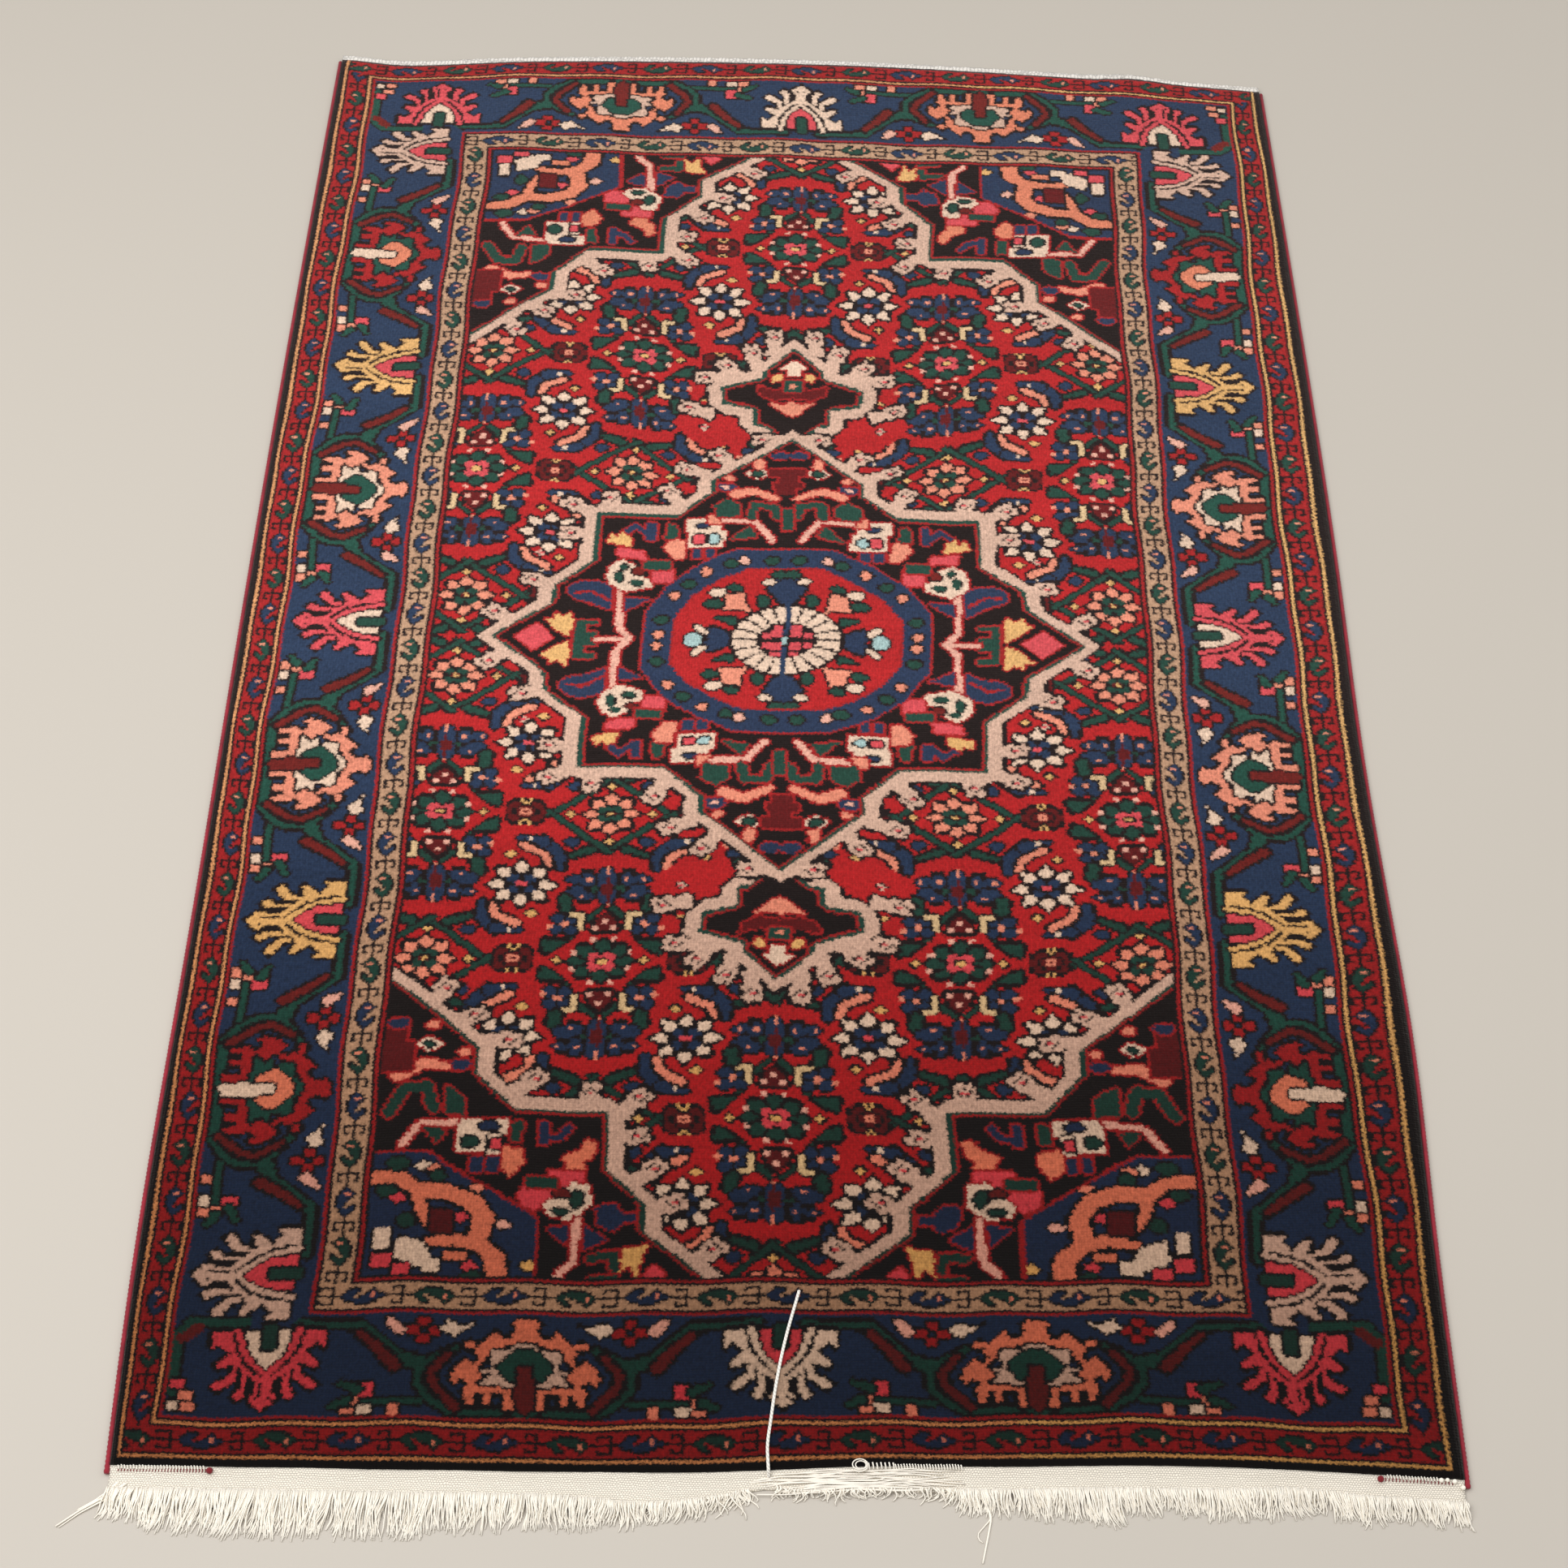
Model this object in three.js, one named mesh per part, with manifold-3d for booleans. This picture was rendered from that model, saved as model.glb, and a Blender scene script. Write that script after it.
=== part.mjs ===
// Hand-knotted wool rug lying flat: pile body, two overcast side cords, a cotton end web with its
// fringe at the front, a narrow turned web at the back and one loose cotton yarn lying on the pile.
// Millimetres, +Z up, floor at z = 0. X runs across the rug and the fringed end faces -Y.
import * as THREE from 'three';
import { mergeVertices } from 'three/addons/utils/BufferGeometryUtils.js';
import Module from 'manifold-3d';

const wasm = await Module();
wasm.setup();

// Driving sizes
const gap = 0.3;
const pile = { halfWidth: 654, front: -1029, back: 1025, thick: 9, edgeRound: 1.6, bow: 9 };
const selvedge = { across: 6, sides: 8, steps: 60, pastFront: 8 };
const frontWeb = { depth: 25, thick: 2.4, lift: 0.2, rootOverlap: 5 };
const backWeb = { depth: 10, thick: 4 };
const fringe = { strands: 220, length: 26, shortest: 6, rootWidth: 3.2, tipWidth: 1.5, height: 1.8 };
const yarn = { across: 3.2, sides: 8, stepLength: 6.4 };

// Swells and dips of the woven edges: where along the edge, how far, over what spread
const leftEdgeSwells = [{ at: 0.11, rise: 7.5, spread: 0.15 }];
const rightEdgeSwells = [
  { at: 0, rise: 3, spread: 0.12 },
  { at: 0.23, rise: 7, spread: 0.1 },
  { at: 0.44, rise: -4, spread: 0.1 },
];
const frontEdgeSwells = [
  { at: 380, rise: 16, spread: 300 },
  { at: 70, rise: 5, spread: 110 },
];
const backEdgeSwells = [
  { at: -654, rise: 12, spread: 60 },
  { at: -560, rise: -7, spread: 110 },
  { at: 470, rise: 7, spread: 46 },
];
const webDepthSwells = [
  { at: -140, rise: 7, spread: 60 },
  { at: -25, rise: -7, spread: 30 },
  { at: 490, rise: -4, spread: 50 },
];
const fringeLengthSwells = [
  { at: -470, rise: 16, spread: 180 },
  { at: -110, rise: -8, spread: 60 },
  { at: 60, rise: -17, spread: 120 },
  { at: 293, rise: 6, spread: 30 },
  { at: 357, rise: -6, spread: 30 },
  { at: 521, rise: -4, spread: 25 },
  { at: -660, rise: -8, spread: 36 },
  { at: 650, rise: -7, spread: 90 },
];

// Stray locks that lie out past the fringe, from root to tip
const cornerLock = {
  rootWidth: 5,
  tipWidth: 2,
  height: 3,
  route: [[-646, -1050], [-660, -1060], [-681, -1073], [-701, -1089]],
};
const longLock = {
  rootWidth: 3,
  tipWidth: 1.6,
  height: 2,
  route: [[181, -1034], [192, -1059], [194, -1071], [188, -1090], [184, -1111]],
};

// Route of the loose yarn, from the end web over the pile's edge to its bare end
const yarnRoute = [
  [-21.4, -1030.5, 5.4],
  [-22, -1023.7, 12],
  [-22.6, -1014.7, 11.6],
  [-23, -1001, 11],
  [-20, -974, 10.95],
  [-15, -936, 10.95],
  [-7, -893, 10.95],
  [7, -838, 10.95],
];

const swell = (rows, x) => rows.reduce(
  (sum, row) => sum + row.rise * Math.exp(-(((x - row.at) / row.spread) ** 2)), 0);

// Even scatter from 0 to 1 for the strand with this number
const scatter = (index, salt) => {
  const raw = Math.sin(index * 12.9898 + salt * 78.233) * 43758.5453;
  return raw - Math.floor(raw);
};

// The four woven edges; along runs from 0 at the front to 1 at the back
const sideX = (rows, along) => pile.halfWidth + pile.bow * Math.sin(Math.PI * along) + swell(rows, along);
const leftX = (along) => -sideX(leftEdgeSwells, along);
const rightX = (along) => sideX(rightEdgeSwells, along);
const frontY = (x) => pile.front + swell(frontEdgeSwells, x);
const backY = (x) => pile.back - 8 * x / pile.halfWidth
  + 30 * Math.cos(Math.PI * x / (2 * pile.halfWidth)) + swell(backEdgeSwells, x);
const webEdgeY = (x) => frontY(x) - frontWeb.depth - swell(webDepthSwells, x);

const leftPoint = (along) => new THREE.Vector2(
  leftX(along), THREE.MathUtils.lerp(frontY(leftX(0)), backY(leftX(1)), along));
const rightPoint = (along) => new THREE.Vector2(
  rightX(along), THREE.MathUtils.lerp(frontY(rightX(0)), backY(rightX(1)), along));

// Shares from 0 to 1, both ends included
const shares = (count) => Array.from({ length: count + 1 }, (_, index) => index / count);
const acrossAt = (from, to, edge, count) => shares(count).map((t) => {
  const x = THREE.MathUtils.lerp(from, to, t);
  return new THREE.Vector2(x, edge(x));
});

function addPiece(group, name, geometry, look) {
  const mesh = new THREE.Mesh(geometry, new THREE.MeshStandardMaterial({ metalness: 0, ...look }));
  mesh.name = name;
  group.add(mesh);
  return mesh;
}

// Flat slab with its long edges slightly rounded, standing on the floor
function slab(points, thick, edgeRound) {
  const geometry = new THREE.ExtrudeGeometry(new THREE.Shape(points), {
    depth: thick - 2 * edgeRound,
    bevelThickness: edgeRound,
    bevelSize: edgeRound,
    bevelOffset: -edgeRound,
    bevelSegments: 2,
  });
  geometry.translate(0, 0, edgeRound);
  return geometry;
}

function rugBody() {
  const edges = [
    acrossAt(leftX(0), rightX(0), frontY, 48),
    shares(48).map(rightPoint),
    acrossAt(rightX(1), leftX(1), backY, 64),
    shares(48).map((t) => leftPoint(1 - t)),
  ];
  const outline = edges.flatMap((edge) => edge.slice(0, -1));
  return slab(outline, pile.thick, pile.edgeRound);
}

function roundSection(across, sides) {
  const points = Array.from({ length: sides }, (_, side) => {
    const turn = 2 * Math.PI * (side + 0.5) / sides;
    return new THREE.Vector2(Math.cos(turn), Math.sin(turn)).multiplyScalar(across / 2);
  });
  return new THREE.Shape(points);
}

function tubeAlong(points, across, sides, count) {
  const path = new THREE.CatmullRomCurve3(points);
  return new THREE.ExtrudeGeometry(roundSection(across, sides), { steps: count, extrudePath: path });
}

// Wool cord overcast along one side, just outside the pile body
function sideCord(edgePoint, outward) {
  const radius = selvedge.across / 2;
  const points = shares(24).map((along) => {
    const edge = edgePoint(along);
    return new THREE.Vector3(edge.x + outward * (gap + radius), edge.y, radius);
  });
  points[0].y -= selvedge.pastFront;
  return tubeAlong(points, selvedge.across, selvedge.sides, selvedge.steps);
}

function backWebStrip() {
  const inner = acrossAt(leftX(1), rightX(1), (x) => backY(x) + gap, 64);
  const outer = acrossAt(rightX(1), leftX(1), (x) => backY(x) + backWeb.depth, 64);
  return slab([...inner, ...outer], backWeb.thick, 0.8);
}

function asManifold(geometry) {
  geometry.deleteAttribute('normal');
  geometry.deleteAttribute('uv');
  const welded = mergeVertices(geometry, 1e-4);
  const mesh = new wasm.Mesh({
    numProp: 3,
    vertProperties: Float32Array.from(welded.attributes.position.array),
    triVerts: Uint32Array.from(welded.index.array),
  });
  return new wasm.Manifold(mesh);
}

function asGeometry(solid) {
  const mesh = solid.getMesh();
  const geometry = new THREE.BufferGeometry();
  geometry.setAttribute('position', new THREE.Float32BufferAttribute(mesh.vertProperties, 3));
  geometry.setIndex(Array.from(mesh.triVerts));
  const faceted = geometry.toNonIndexed();
  faceted.computeVertexNormals();
  return faceted;
}

// Four-sided strand lying level on the floor along a route in plan, tapering to its tip
function strand(route, rootWidth, tipWidth, height) {
  const left = [];
  const right = [];
  route.forEach((point, index) => {
    const before = route[Math.max(index - 1, 0)];
    const after = route[Math.min(index + 1, route.length - 1)];
    const side = new THREE.Vector2().subVectors(after, before).normalize();
    side.set(-side.y, side.x);
    const half = THREE.MathUtils.lerp(rootWidth, tipWidth, index / (route.length - 1)) / 2;
    left.push(point.clone().addScaledVector(side, half));
    right.unshift(point.clone().addScaledVector(side, -half));
  });
  const shape = new THREE.Shape([...left, ...right]);
  return new THREE.ExtrudeGeometry(shape, { depth: height, bevelEnabled: false });
}

// Fringe strand number index: it leans away from the rug's middle and varies in length
function fringeStrand(index) {
  const pitch = (rightX(0) - leftX(0)) / fringe.strands;
  const rootX = leftX(0) + (index + 0.5) * pitch;
  const wanted = fringe.length + swell(fringeLengthSwells, rootX) + 6 * (scatter(index, 1) - 0.5);
  const length = Math.max(fringe.shortest, wanted);
  const lean = 0.34 * Math.tanh(rootX / 260) + 0.05 * (scatter(index, 2) - 0.5);
  const rootY = webEdgeY(rootX) + frontWeb.rootOverlap;
  const route = [0, 0.4, 0.75, 1].map((t) => new THREE.Vector2(
    rootX + lean * length * t * t, rootY - (length + frontWeb.rootOverlap) * t));
  return { rootX, solid: strand(route, fringe.rootWidth, fringe.tipWidth, fringe.height) };
}

// End web with the fringe and the stray locks fused into it; the web rides on its strands
function frontWebWithFringe() {
  const inner = acrossAt(rightX(0), leftX(0), (x) => frontY(x) - gap, 64);
  const outer = acrossAt(leftX(0), rightX(0), webEdgeY, 96);
  const shape = new THREE.Shape([...outer, ...inner]);
  const web = new THREE.ExtrudeGeometry(shape, { depth: frontWeb.thick, bevelEnabled: false });
  web.translate(0, 0, frontWeb.lift);
  const strays = [cornerLock, longLock].map((lock) => {
    const route = lock.route.map(([x, y]) => new THREE.Vector2(x, y));
    return { rootX: route[0].x, solid: strand(route, lock.rootWidth, lock.tipWidth, lock.height) };
  });
  const clearOfStrays = (row) => strays.every((stray) => Math.abs(stray.rootX + 4 - row.rootX) > 14);
  const numbers = Array.from({ length: fringe.strands }, (_, index) => index);
  const rows = numbers.map(fringeStrand).filter(clearOfStrays);
  const solids = [...rows, ...strays].map((row) => asManifold(row.solid));
  return asGeometry(solids.reduce((whole, solid) => whole.add(solid), asManifold(web)));
}

function looseYarn() {
  const points = yarnRoute.map(([x, y, z]) => new THREE.Vector3(x, y, z));
  const length = new THREE.CatmullRomCurve3(points).getLength();
  return tubeAlong(points, yarn.across, yarn.sides, Math.round(length / yarn.stepLength));
}

const wool = { roughness: 0.95 };
const cotton = { color: 0xe1dacd, roughness: 0.9 };
const rug = new THREE.Group();
addPiece(rug, 'rug_body', rugBody(), { color: 0x8e2a30, ...wool });
addPiece(rug, 'selvedge_left', sideCord(leftPoint, -1), { color: 0xa01f33, ...wool });
addPiece(rug, 'selvedge_right', sideCord(rightPoint, 1), { color: 0xa01f33, ...wool });
addPiece(rug, 'kilim_fringe_front', frontWebWithFringe(), cotton);
addPiece(rug, 'kilim_back', backWebStrip(), cotton);
addPiece(rug, 'loose_yarn', looseYarn(), cotton);

// The whole rug's box is centred over the origin
const box = new THREE.Box3().setFromObject(rug);
const middle = box.getCenter(new THREE.Vector3());
rug.position.set(-middle.x, -middle.y, 0);

export default rug;
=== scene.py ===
import math
import bmesh
import bpy
import numpy as np
from mathutils import Matrix, Vector


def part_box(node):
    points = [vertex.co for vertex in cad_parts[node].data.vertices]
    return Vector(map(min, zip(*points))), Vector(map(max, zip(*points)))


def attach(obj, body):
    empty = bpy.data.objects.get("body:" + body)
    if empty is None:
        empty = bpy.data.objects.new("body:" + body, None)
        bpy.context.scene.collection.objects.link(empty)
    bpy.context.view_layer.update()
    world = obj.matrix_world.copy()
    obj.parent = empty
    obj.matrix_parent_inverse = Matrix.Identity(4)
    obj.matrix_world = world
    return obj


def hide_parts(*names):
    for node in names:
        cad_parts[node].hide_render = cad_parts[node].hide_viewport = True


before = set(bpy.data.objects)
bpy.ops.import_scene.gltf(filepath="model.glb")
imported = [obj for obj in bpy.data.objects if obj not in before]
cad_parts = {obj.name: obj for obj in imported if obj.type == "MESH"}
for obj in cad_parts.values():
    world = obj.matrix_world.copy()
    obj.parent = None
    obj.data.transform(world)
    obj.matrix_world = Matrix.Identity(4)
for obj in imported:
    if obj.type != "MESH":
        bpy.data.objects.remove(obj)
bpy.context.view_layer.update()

scene = bpy.context.scene
scene.view_settings.view_transform = "Standard"

# sizes are in mm about the middle of the pile, as in the part; at() takes them to metres in the frame
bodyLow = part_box("rug_body")[0]
drawnLow = (-0.66507, -1.029)       # the same corner about the middle of the pile, in metres
shift = (bodyLow.x - drawnLow[0], bodyLow.y - drawnLow[1])


def at(x, y, z=0.0):
    return Vector((x / 1000 + shift[0], y / 1000 + shift[1], z / 1000))


def addObject(name, data):
    made = bpy.data.objects.new(name, data)
    scene.collection.objects.link(made)
    return made


def toMesh(bm, name):
    mesh = bpy.data.meshes.new(name)
    bm.to_mesh(mesh)
    bm.free()
    return mesh


# camera: standing at the fringed end, looking down the rug
eye = {"place": (-52, -1941, 2455), "pitch": 54.70, "yaw": 1.27, "roll": 2.15, "lens": 59.78}
pitch, yaw, roll = (math.radians(eye[key]) for key in ("pitch", "yaw", "roll"))
ahead = Vector((math.sin(yaw) * math.cos(pitch), math.cos(yaw) * math.cos(pitch), -math.sin(pitch)))
level = Vector((math.cos(yaw), -math.sin(yaw), 0))
upward = level.cross(ahead)
right = math.cos(roll) * level + math.sin(roll) * upward
up = math.cos(roll) * upward - math.sin(roll) * level
cameraData = bpy.data.cameras.new("camera")
cameraData.lens = eye["lens"]
cameraData.sensor_width = 36
cameraData.clip_end = 60
camera = addObject("camera", cameraData)
turn = Matrix((right, up, -ahead)).transposed()
camera.matrix_world = Matrix.Translation(at(*eye["place"])) @ turn.to_4x4()
scene.camera = camera
print("camera set")


# shaders
def newMaterial(name):
    mat = bpy.data.materials.new(name)
    mat.use_nodes = True
    tree = mat.node_tree
    return mat, tree, tree.nodes["Principled BSDF"]


def addNode(tree, kind, settings=None, inputs=None):
    node = tree.nodes.new(kind)
    for key, value in (settings or {}).items():
        setattr(node, key, value)
    for key, value in (inputs or {}).items():
        if isinstance(value, bpy.types.NodeSocket):
            tree.links.new(value, node.inputs[key])
        else:
            node.inputs[key].default_value = value
    return node


def maths(tree, operation, first, second=None, third=None):
    given = {number: value for number, value in enumerate((first, second, third)) if value is not None}
    return addNode(tree, "ShaderNodeMath", {"operation": operation}, given).outputs[0]


def mixValue(tree, factor, first, second):
    node = addNode(tree, "ShaderNodeMix", {"data_type": "FLOAT"}, {0: factor, 2: first, 3: second})
    return node.outputs[0]


def mixColour(tree, factor, first, second, blend="MIX"):
    settings = {"data_type": "RGBA", "blend_type": blend}
    return addNode(tree, "ShaderNodeMix", settings, {0: factor, 6: first, 7: second}).outputs[2]


def linear(r, g, b):
    # dye colours are noted as 0-255 screen values
    return tuple(((v / 255 + 0.055) / 1.055) ** 2.4 if v > 10 else v / 255 / 12.92 for v in (r, g, b)) + (1.0,)


def addPiece(name, data, material, nodes=()):
    piece = addObject(name, data)
    data.materials.clear()
    data.materials.append(material)
    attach(piece, "root")
    if nodes:
        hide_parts(*nodes)
    return piece


def grains(tree, across, along):
    # rounded bumps, one to each whole step across and along
    rounds = []
    for t in (across, along):
        part = maths(tree, "FRACT", t)
        rounds.append(maths(tree, "MULTIPLY", part, maths(tree, "SUBTRACT", 1.0, part)))
    return maths(tree, "POWER", maths(tree, "MULTIPLY", maths(tree, "MULTIPLY", rounds[0], rounds[1]), 16.0), 0.5)


def cottonMaterial(name, colour, weave=None, ply=None):
    mat, tree, shader = newMaterial(name)
    place = addNode(tree, "ShaderNodeTexCoord").outputs["Object"]
    stain = addNode(tree, "ShaderNodeTexNoise", None, {"Vector": place, "Scale": 14.0, "Detail": 3.0})
    fuzz = addNode(tree, "ShaderNodeTexNoise", None, {"Vector": place, "Scale": 900.0, "Detail": 2.0})
    shade = mixColour(tree, maths(tree, "MULTIPLY", stain.outputs["Fac"], 0.35), linear(*colour),
                      linear(*[v * 0.84 for v in colour]))
    height = maths(tree, "MULTIPLY", fuzz.outputs["Fac"], 0.35)
    parts = addNode(tree, "ShaderNodeSeparateXYZ", None, {0: place})
    raised = None
    if weave:
        # weft grains, every other row set over by half a grain
        uneven = addNode(tree, "ShaderNodeTexNoise", None, {"Vector": place, "Scale": 130.0, "Detail": 1.0})
        uneven = uneven.outputs["Fac"]
        along = maths(tree, "MULTIPLY_ADD", parts.outputs[1], 1000 / weave[1], maths(tree, "MULTIPLY", uneven, 1.6))
        odd = maths(tree, "MODULO", maths(tree, "FLOOR", along), 2.0)
        setOver = maths(tree, "MULTIPLY_ADD", odd, 0.5, uneven)
        across = maths(tree, "MULTIPLY_ADD", parts.outputs[0], 1000 / weave[0], setOver)
        raised = grains(tree, across, along)
    if ply:
        slant = maths(tree, "ADD", parts.outputs[1], maths(tree, "ADD", parts.outputs[0], parts.outputs[2]))
        raised = maths(tree, "ABSOLUTE", maths(tree, "SINE", maths(tree, "MULTIPLY", slant, 1000 * math.pi / ply)))
    if raised:
        height = maths(tree, "ADD", raised, height)
        # painted shade: the colour darkens in the hollows between weft grains and between ply twists
        hollowShade = maths(tree, "MULTIPLY", maths(tree, "SUBTRACT", 1.0, raised), 0.75 if weave else 0.45)
        shade = mixColour(tree, hollowShade, shade, linear(*[v * 0.6 for v in colour]))
    bump = addNode(tree, "ShaderNodeBump", None, {"Height": height, "Strength": 0.8, "Distance": 0.0008})
    tree.links.new(shade, shader.inputs["Base Color"])
    tree.links.new(bump.outputs[0], shader.inputs["Normal"])
    shader.inputs["Roughness"].default_value = 0.9
    shader.inputs["Sheen Weight"].default_value = 0.1
    return mat


cottonYarn = cottonMaterial("cotton yarn", (255, 250, 241), ply=4.5)

# loose yarn: from the end web over the border to its bare end
looseYarn = {
    "across": 3.2,
    "route": [(-21.4, -1030.5, 5.4), (-22, -1023.7, 12), (-22.6, -1014.7, 11.6), (-23, -1001, 11),
              (-20, -974, 10.95), (-15, -936, 10.95), (-7, -893, 10.95), (7, -838, 10.95)],
}
yarnCurve = bpy.data.curves.new("loose yarn", "CURVE")
yarnCurve.dimensions = "3D"
yarnCurve.bevel_depth = looseYarn["across"] / 2000
yarnCurve.bevel_resolution = 3
yarnCurve.resolution_u = 8
yarnCurve.use_fill_caps = True
line = yarnCurve.splines.new("BEZIER")
line.bezier_points.add(len(looseYarn["route"]) - 1)
for point, place in zip(line.bezier_points, looseYarn["route"]):
    point.co = at(*place)
    point.handle_left_type = point.handle_right_type = "AUTO"
yarnPiece = addPiece("yarn_on_pile", yarnCurve, cottonYarn, ["loose_yarn"])

# knot chart: a quarter of the design is drawn in half knots, then mirrored over the rug
chart = {
    "fine": 2,                      # cells drawn per knot
    "half": (204, 362),             # knots drawn from the middle, across and along
    "field": (129, 291),            # half sizes inside each border
    "innerGuard": (143, 305),
    "mainBorder": (183, 342),
}
dyes = {
    "red": (174, 36, 38), "dark": (36, 26, 26), "navy": (42, 57, 82), "green": (36, 69, 58), "maroon": (98, 26, 27),
    "ivory": (220, 190, 167), "camel": (182, 144, 116), "beige": (204, 168, 148), "salmon": (220, 138, 113),
    "rose": (206, 78, 84), "gold": (216, 168, 108), "sky": (160, 186, 184), "brick": (158, 36, 37),
    "orange": (214, 127, 98), "blue": (42, 55, 80), "rust": (110, 34, 30), "black": (32, 23, 22),
    "blush": (222, 166, 147), "leaf": (36, 77, 65), "cream": (212, 180, 138),
    "amber": (212, 150, 102),
}
dye = {name: number for number, name in enumerate(dyes)}


def grown(mask, cells):
    wide = mask.copy()
    for _ in range(cells):
        step = wide.copy()
        step[1:] |= wide[:-1]
        step[:-1] |= wide[1:]
        step[:, 1:] |= wide[:, :-1]
        step[:, :-1] |= wide[:, 1:]
        wide = step
    return wide


class Patch:
    # part of the chart with its own coordinates in knots; only its open cells are drawn on
    def __init__(self, x, y, cells, open):
        self.x, self.y, self.cells, self.open = x, y, cells, open

    def near(self, cx, cy, reach):
        # window round a point, measured from that point
        rows = np.flatnonzero((abs(self.y - cy) < reach).any(axis=1))
        columns = np.flatnonzero((abs(self.x - cx) < reach).any(axis=0))
        cut = (slice(0, 0), slice(0, 0))
        if len(rows) and len(columns):
            cut = (slice(rows[0], rows[-1] + 1), slice(columns[0], columns[-1] + 1))
        return Patch(self.x[cut] - cx, self.y[cut] - cy, self.cells[cut], self.open[cut])

    def only(self, mask):
        return Patch(self.x, self.y, self.cells, self.open & mask)

    def moved(self, x, y):
        return Patch(x, y, self.cells, self.open)

    def disc(self, cx, cy, rx, ry=None):
        return ((self.x - cx) / rx) ** 2 + ((self.y - cy) / (ry or rx)) ** 2 < 1

    def block(self, x0, y0, x1, y1):
        return (self.x > x0) & (self.x < x1) & (self.y > y0) & (self.y < y1)

    def box(self, cx, cy, rx, ry):
        return (abs(self.x - cx) < rx) & (abs(self.y - cy) < ry)

    def rhomb(self, cx, cy, rx, ry):
        return abs(self.x - cx) / rx + abs(self.y - cy) / ry < 1

    def stroke(self, points, start, end=None):
        # tapering line through the points; start and end are its half widths
        end = start if end is None else end
        mask = np.zeros(self.x.shape, bool)
        count = len(points) - 1
        for step in range(count):
            (x0, y0), (x1, y1) = points[step], points[step + 1]
            dx, dy = x1 - x0, y1 - y0
            t = np.clip(((self.x - x0) * dx + (self.y - y0) * dy) / (dx * dx + dy * dy), 0, 1)
            width = start + (end - start) * (step + t) / count
            mask |= (self.x - x0 - t * dx) ** 2 + (self.y - y0 - t * dy) ** 2 < width ** 2
        return mask

    def area(self, points):
        mask = np.zeros(self.x.shape, bool)
        for (x0, y0), (x1, y1) in zip(points, points[1:] + points[:1]):
            if y0 != y1:
                crossing = (x1 - x0) * (self.y - y0) / (y1 - y0) + x0
                mask ^= ((y0 > self.y) != (y1 > self.y)) & (self.x < crossing)
        return mask

    def ink(self, mask, name, rim="dark", cells=3):
        # figure with an outline, its width in cells
        if rim:
            self.cells[grown(mask & self.open, cells) & self.open] = dye[rim]
        self.cells[mask & self.open] = dye[name]

    def thin(self, mask, name):
        self.ink(mask, name, "dark", 2)

    def lined(self, mask, name, rim="brick"):
        # figures on the black ground have a thin red edge
        self.ink(mask, name, rim, 2)

    def charted(self, rows, colours, cellX=1.0, cellY=1.0):
        # small repeat charted, a letter for each knot, first row on top, round the patch's zero
        high, wide = len(rows), len(rows[0])
        column = np.floor(self.x / cellX + wide / 2).astype(int)
        row = np.floor(high / 2 - self.y / cellY).astype(int)
        inside = self.open & (column >= 0) & (column < wide) & (row >= 0) & (row < high)
        letters = np.array([list(line) for line in rows])
        found = letters[np.clip(row, 0, high - 1), np.clip(column, 0, wide - 1)]
        for letter, name in colours.items():
            self.cells[inside & (found == letter)] = dye[name]


# the red field: leaf-and-rosette lattice
lattice = {"step": (59.5, 69.0), "first": 21.0}     # knots between neighbours, first row above the middle
palmetteChart = [
    "...........ksk...........",
    "....kkkk..kbmbk..kkkk....",
    "..kkbbbbkkbbmbbkkbbbbkk..",
    ".kbbbsbbbkbbmbbkbbbsbbbk.",
    "kbbbbbbbkkbmmmbkkbbbbbbbk",
    "kbbbbbbkgkbmmmbkgkbbbbbbk",
    ".kbbbbkkggkmmmkggkkbbbbk.",
    "..kkkkbbkkbmmmbkkbbkkkk..",
    ".kbbkbbbbkbbmbbkbbbbkbbk.",
    "kbsbbbbsbkbbmbbkbsbbbbsbk",
    ".kbbbkbbbkbbbbbkbbbkbbbk.",
    "..kkkkbbkkbbsbbkkbbkkkk..",
    ".....kkkk.kbsbk.kkkk.....",
    "...........ksk...........",
]
squareFlowerChart = [
    "....gkg....",
    "..mm.g.mm..",
    ".mmmkkkmmm.",
    ".mmkmmmkmm.",
    "mmkmsssmkmm",
    "mmkmsmsmkmm",
    "mmkmsssmkmm",
    ".mmkmmmkmm.",
    ".mmmkkkmmm.",
    "..mm.g.mm..",
    "....gkg....",
]
letterDyes = {"b": "navy", "k": "dark", "m": "maroon", "g": "gold", "s": "salmon"}


def rosette(p, petal, heart, mid, reach=(8.4, 7.6), size=(2.2, 2.1)):
    # eight separate pointed petals on a dark ground
    p.ink(p.disc(0, 0, reach[0] + 0.6, reach[1] + 0.6), "dark", None)
    for number in range(8):
        turn = math.pi * number / 4
        cx, cy = reach[0] * math.cos(turn), reach[1] * math.sin(turn)
        tip = p.stroke([(cx, cy), (cx * 1.36, cy * 1.36)], 1.5, 0.5)
        p.ink(p.disc(cx * 0.98, cy * 0.98, *size) | tip, petal)
    for number in range(4):
        turn = math.pi * (number + 0.5) / 2
        p.ink(p.disc(reach[0] * 0.46 * math.cos(turn), reach[1] * 0.46 * math.sin(turn), 2.0, 1.8), heart, None)
    p.ink(p.box(0, 0, 2.1, 1.7), "dark", None)
    p.ink(p.box(0, 0, 1.6, 1.2), mid, None)


def star(p, cx, cy):
    p.ink(p.rhomb(cx, cy, 2.9, 2.7), "dark", None)
    p.ink(p.box(cx, cy, 1.6, 0.6) | p.box(cx, cy, 0.6, 1.6), "gold", None)


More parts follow.
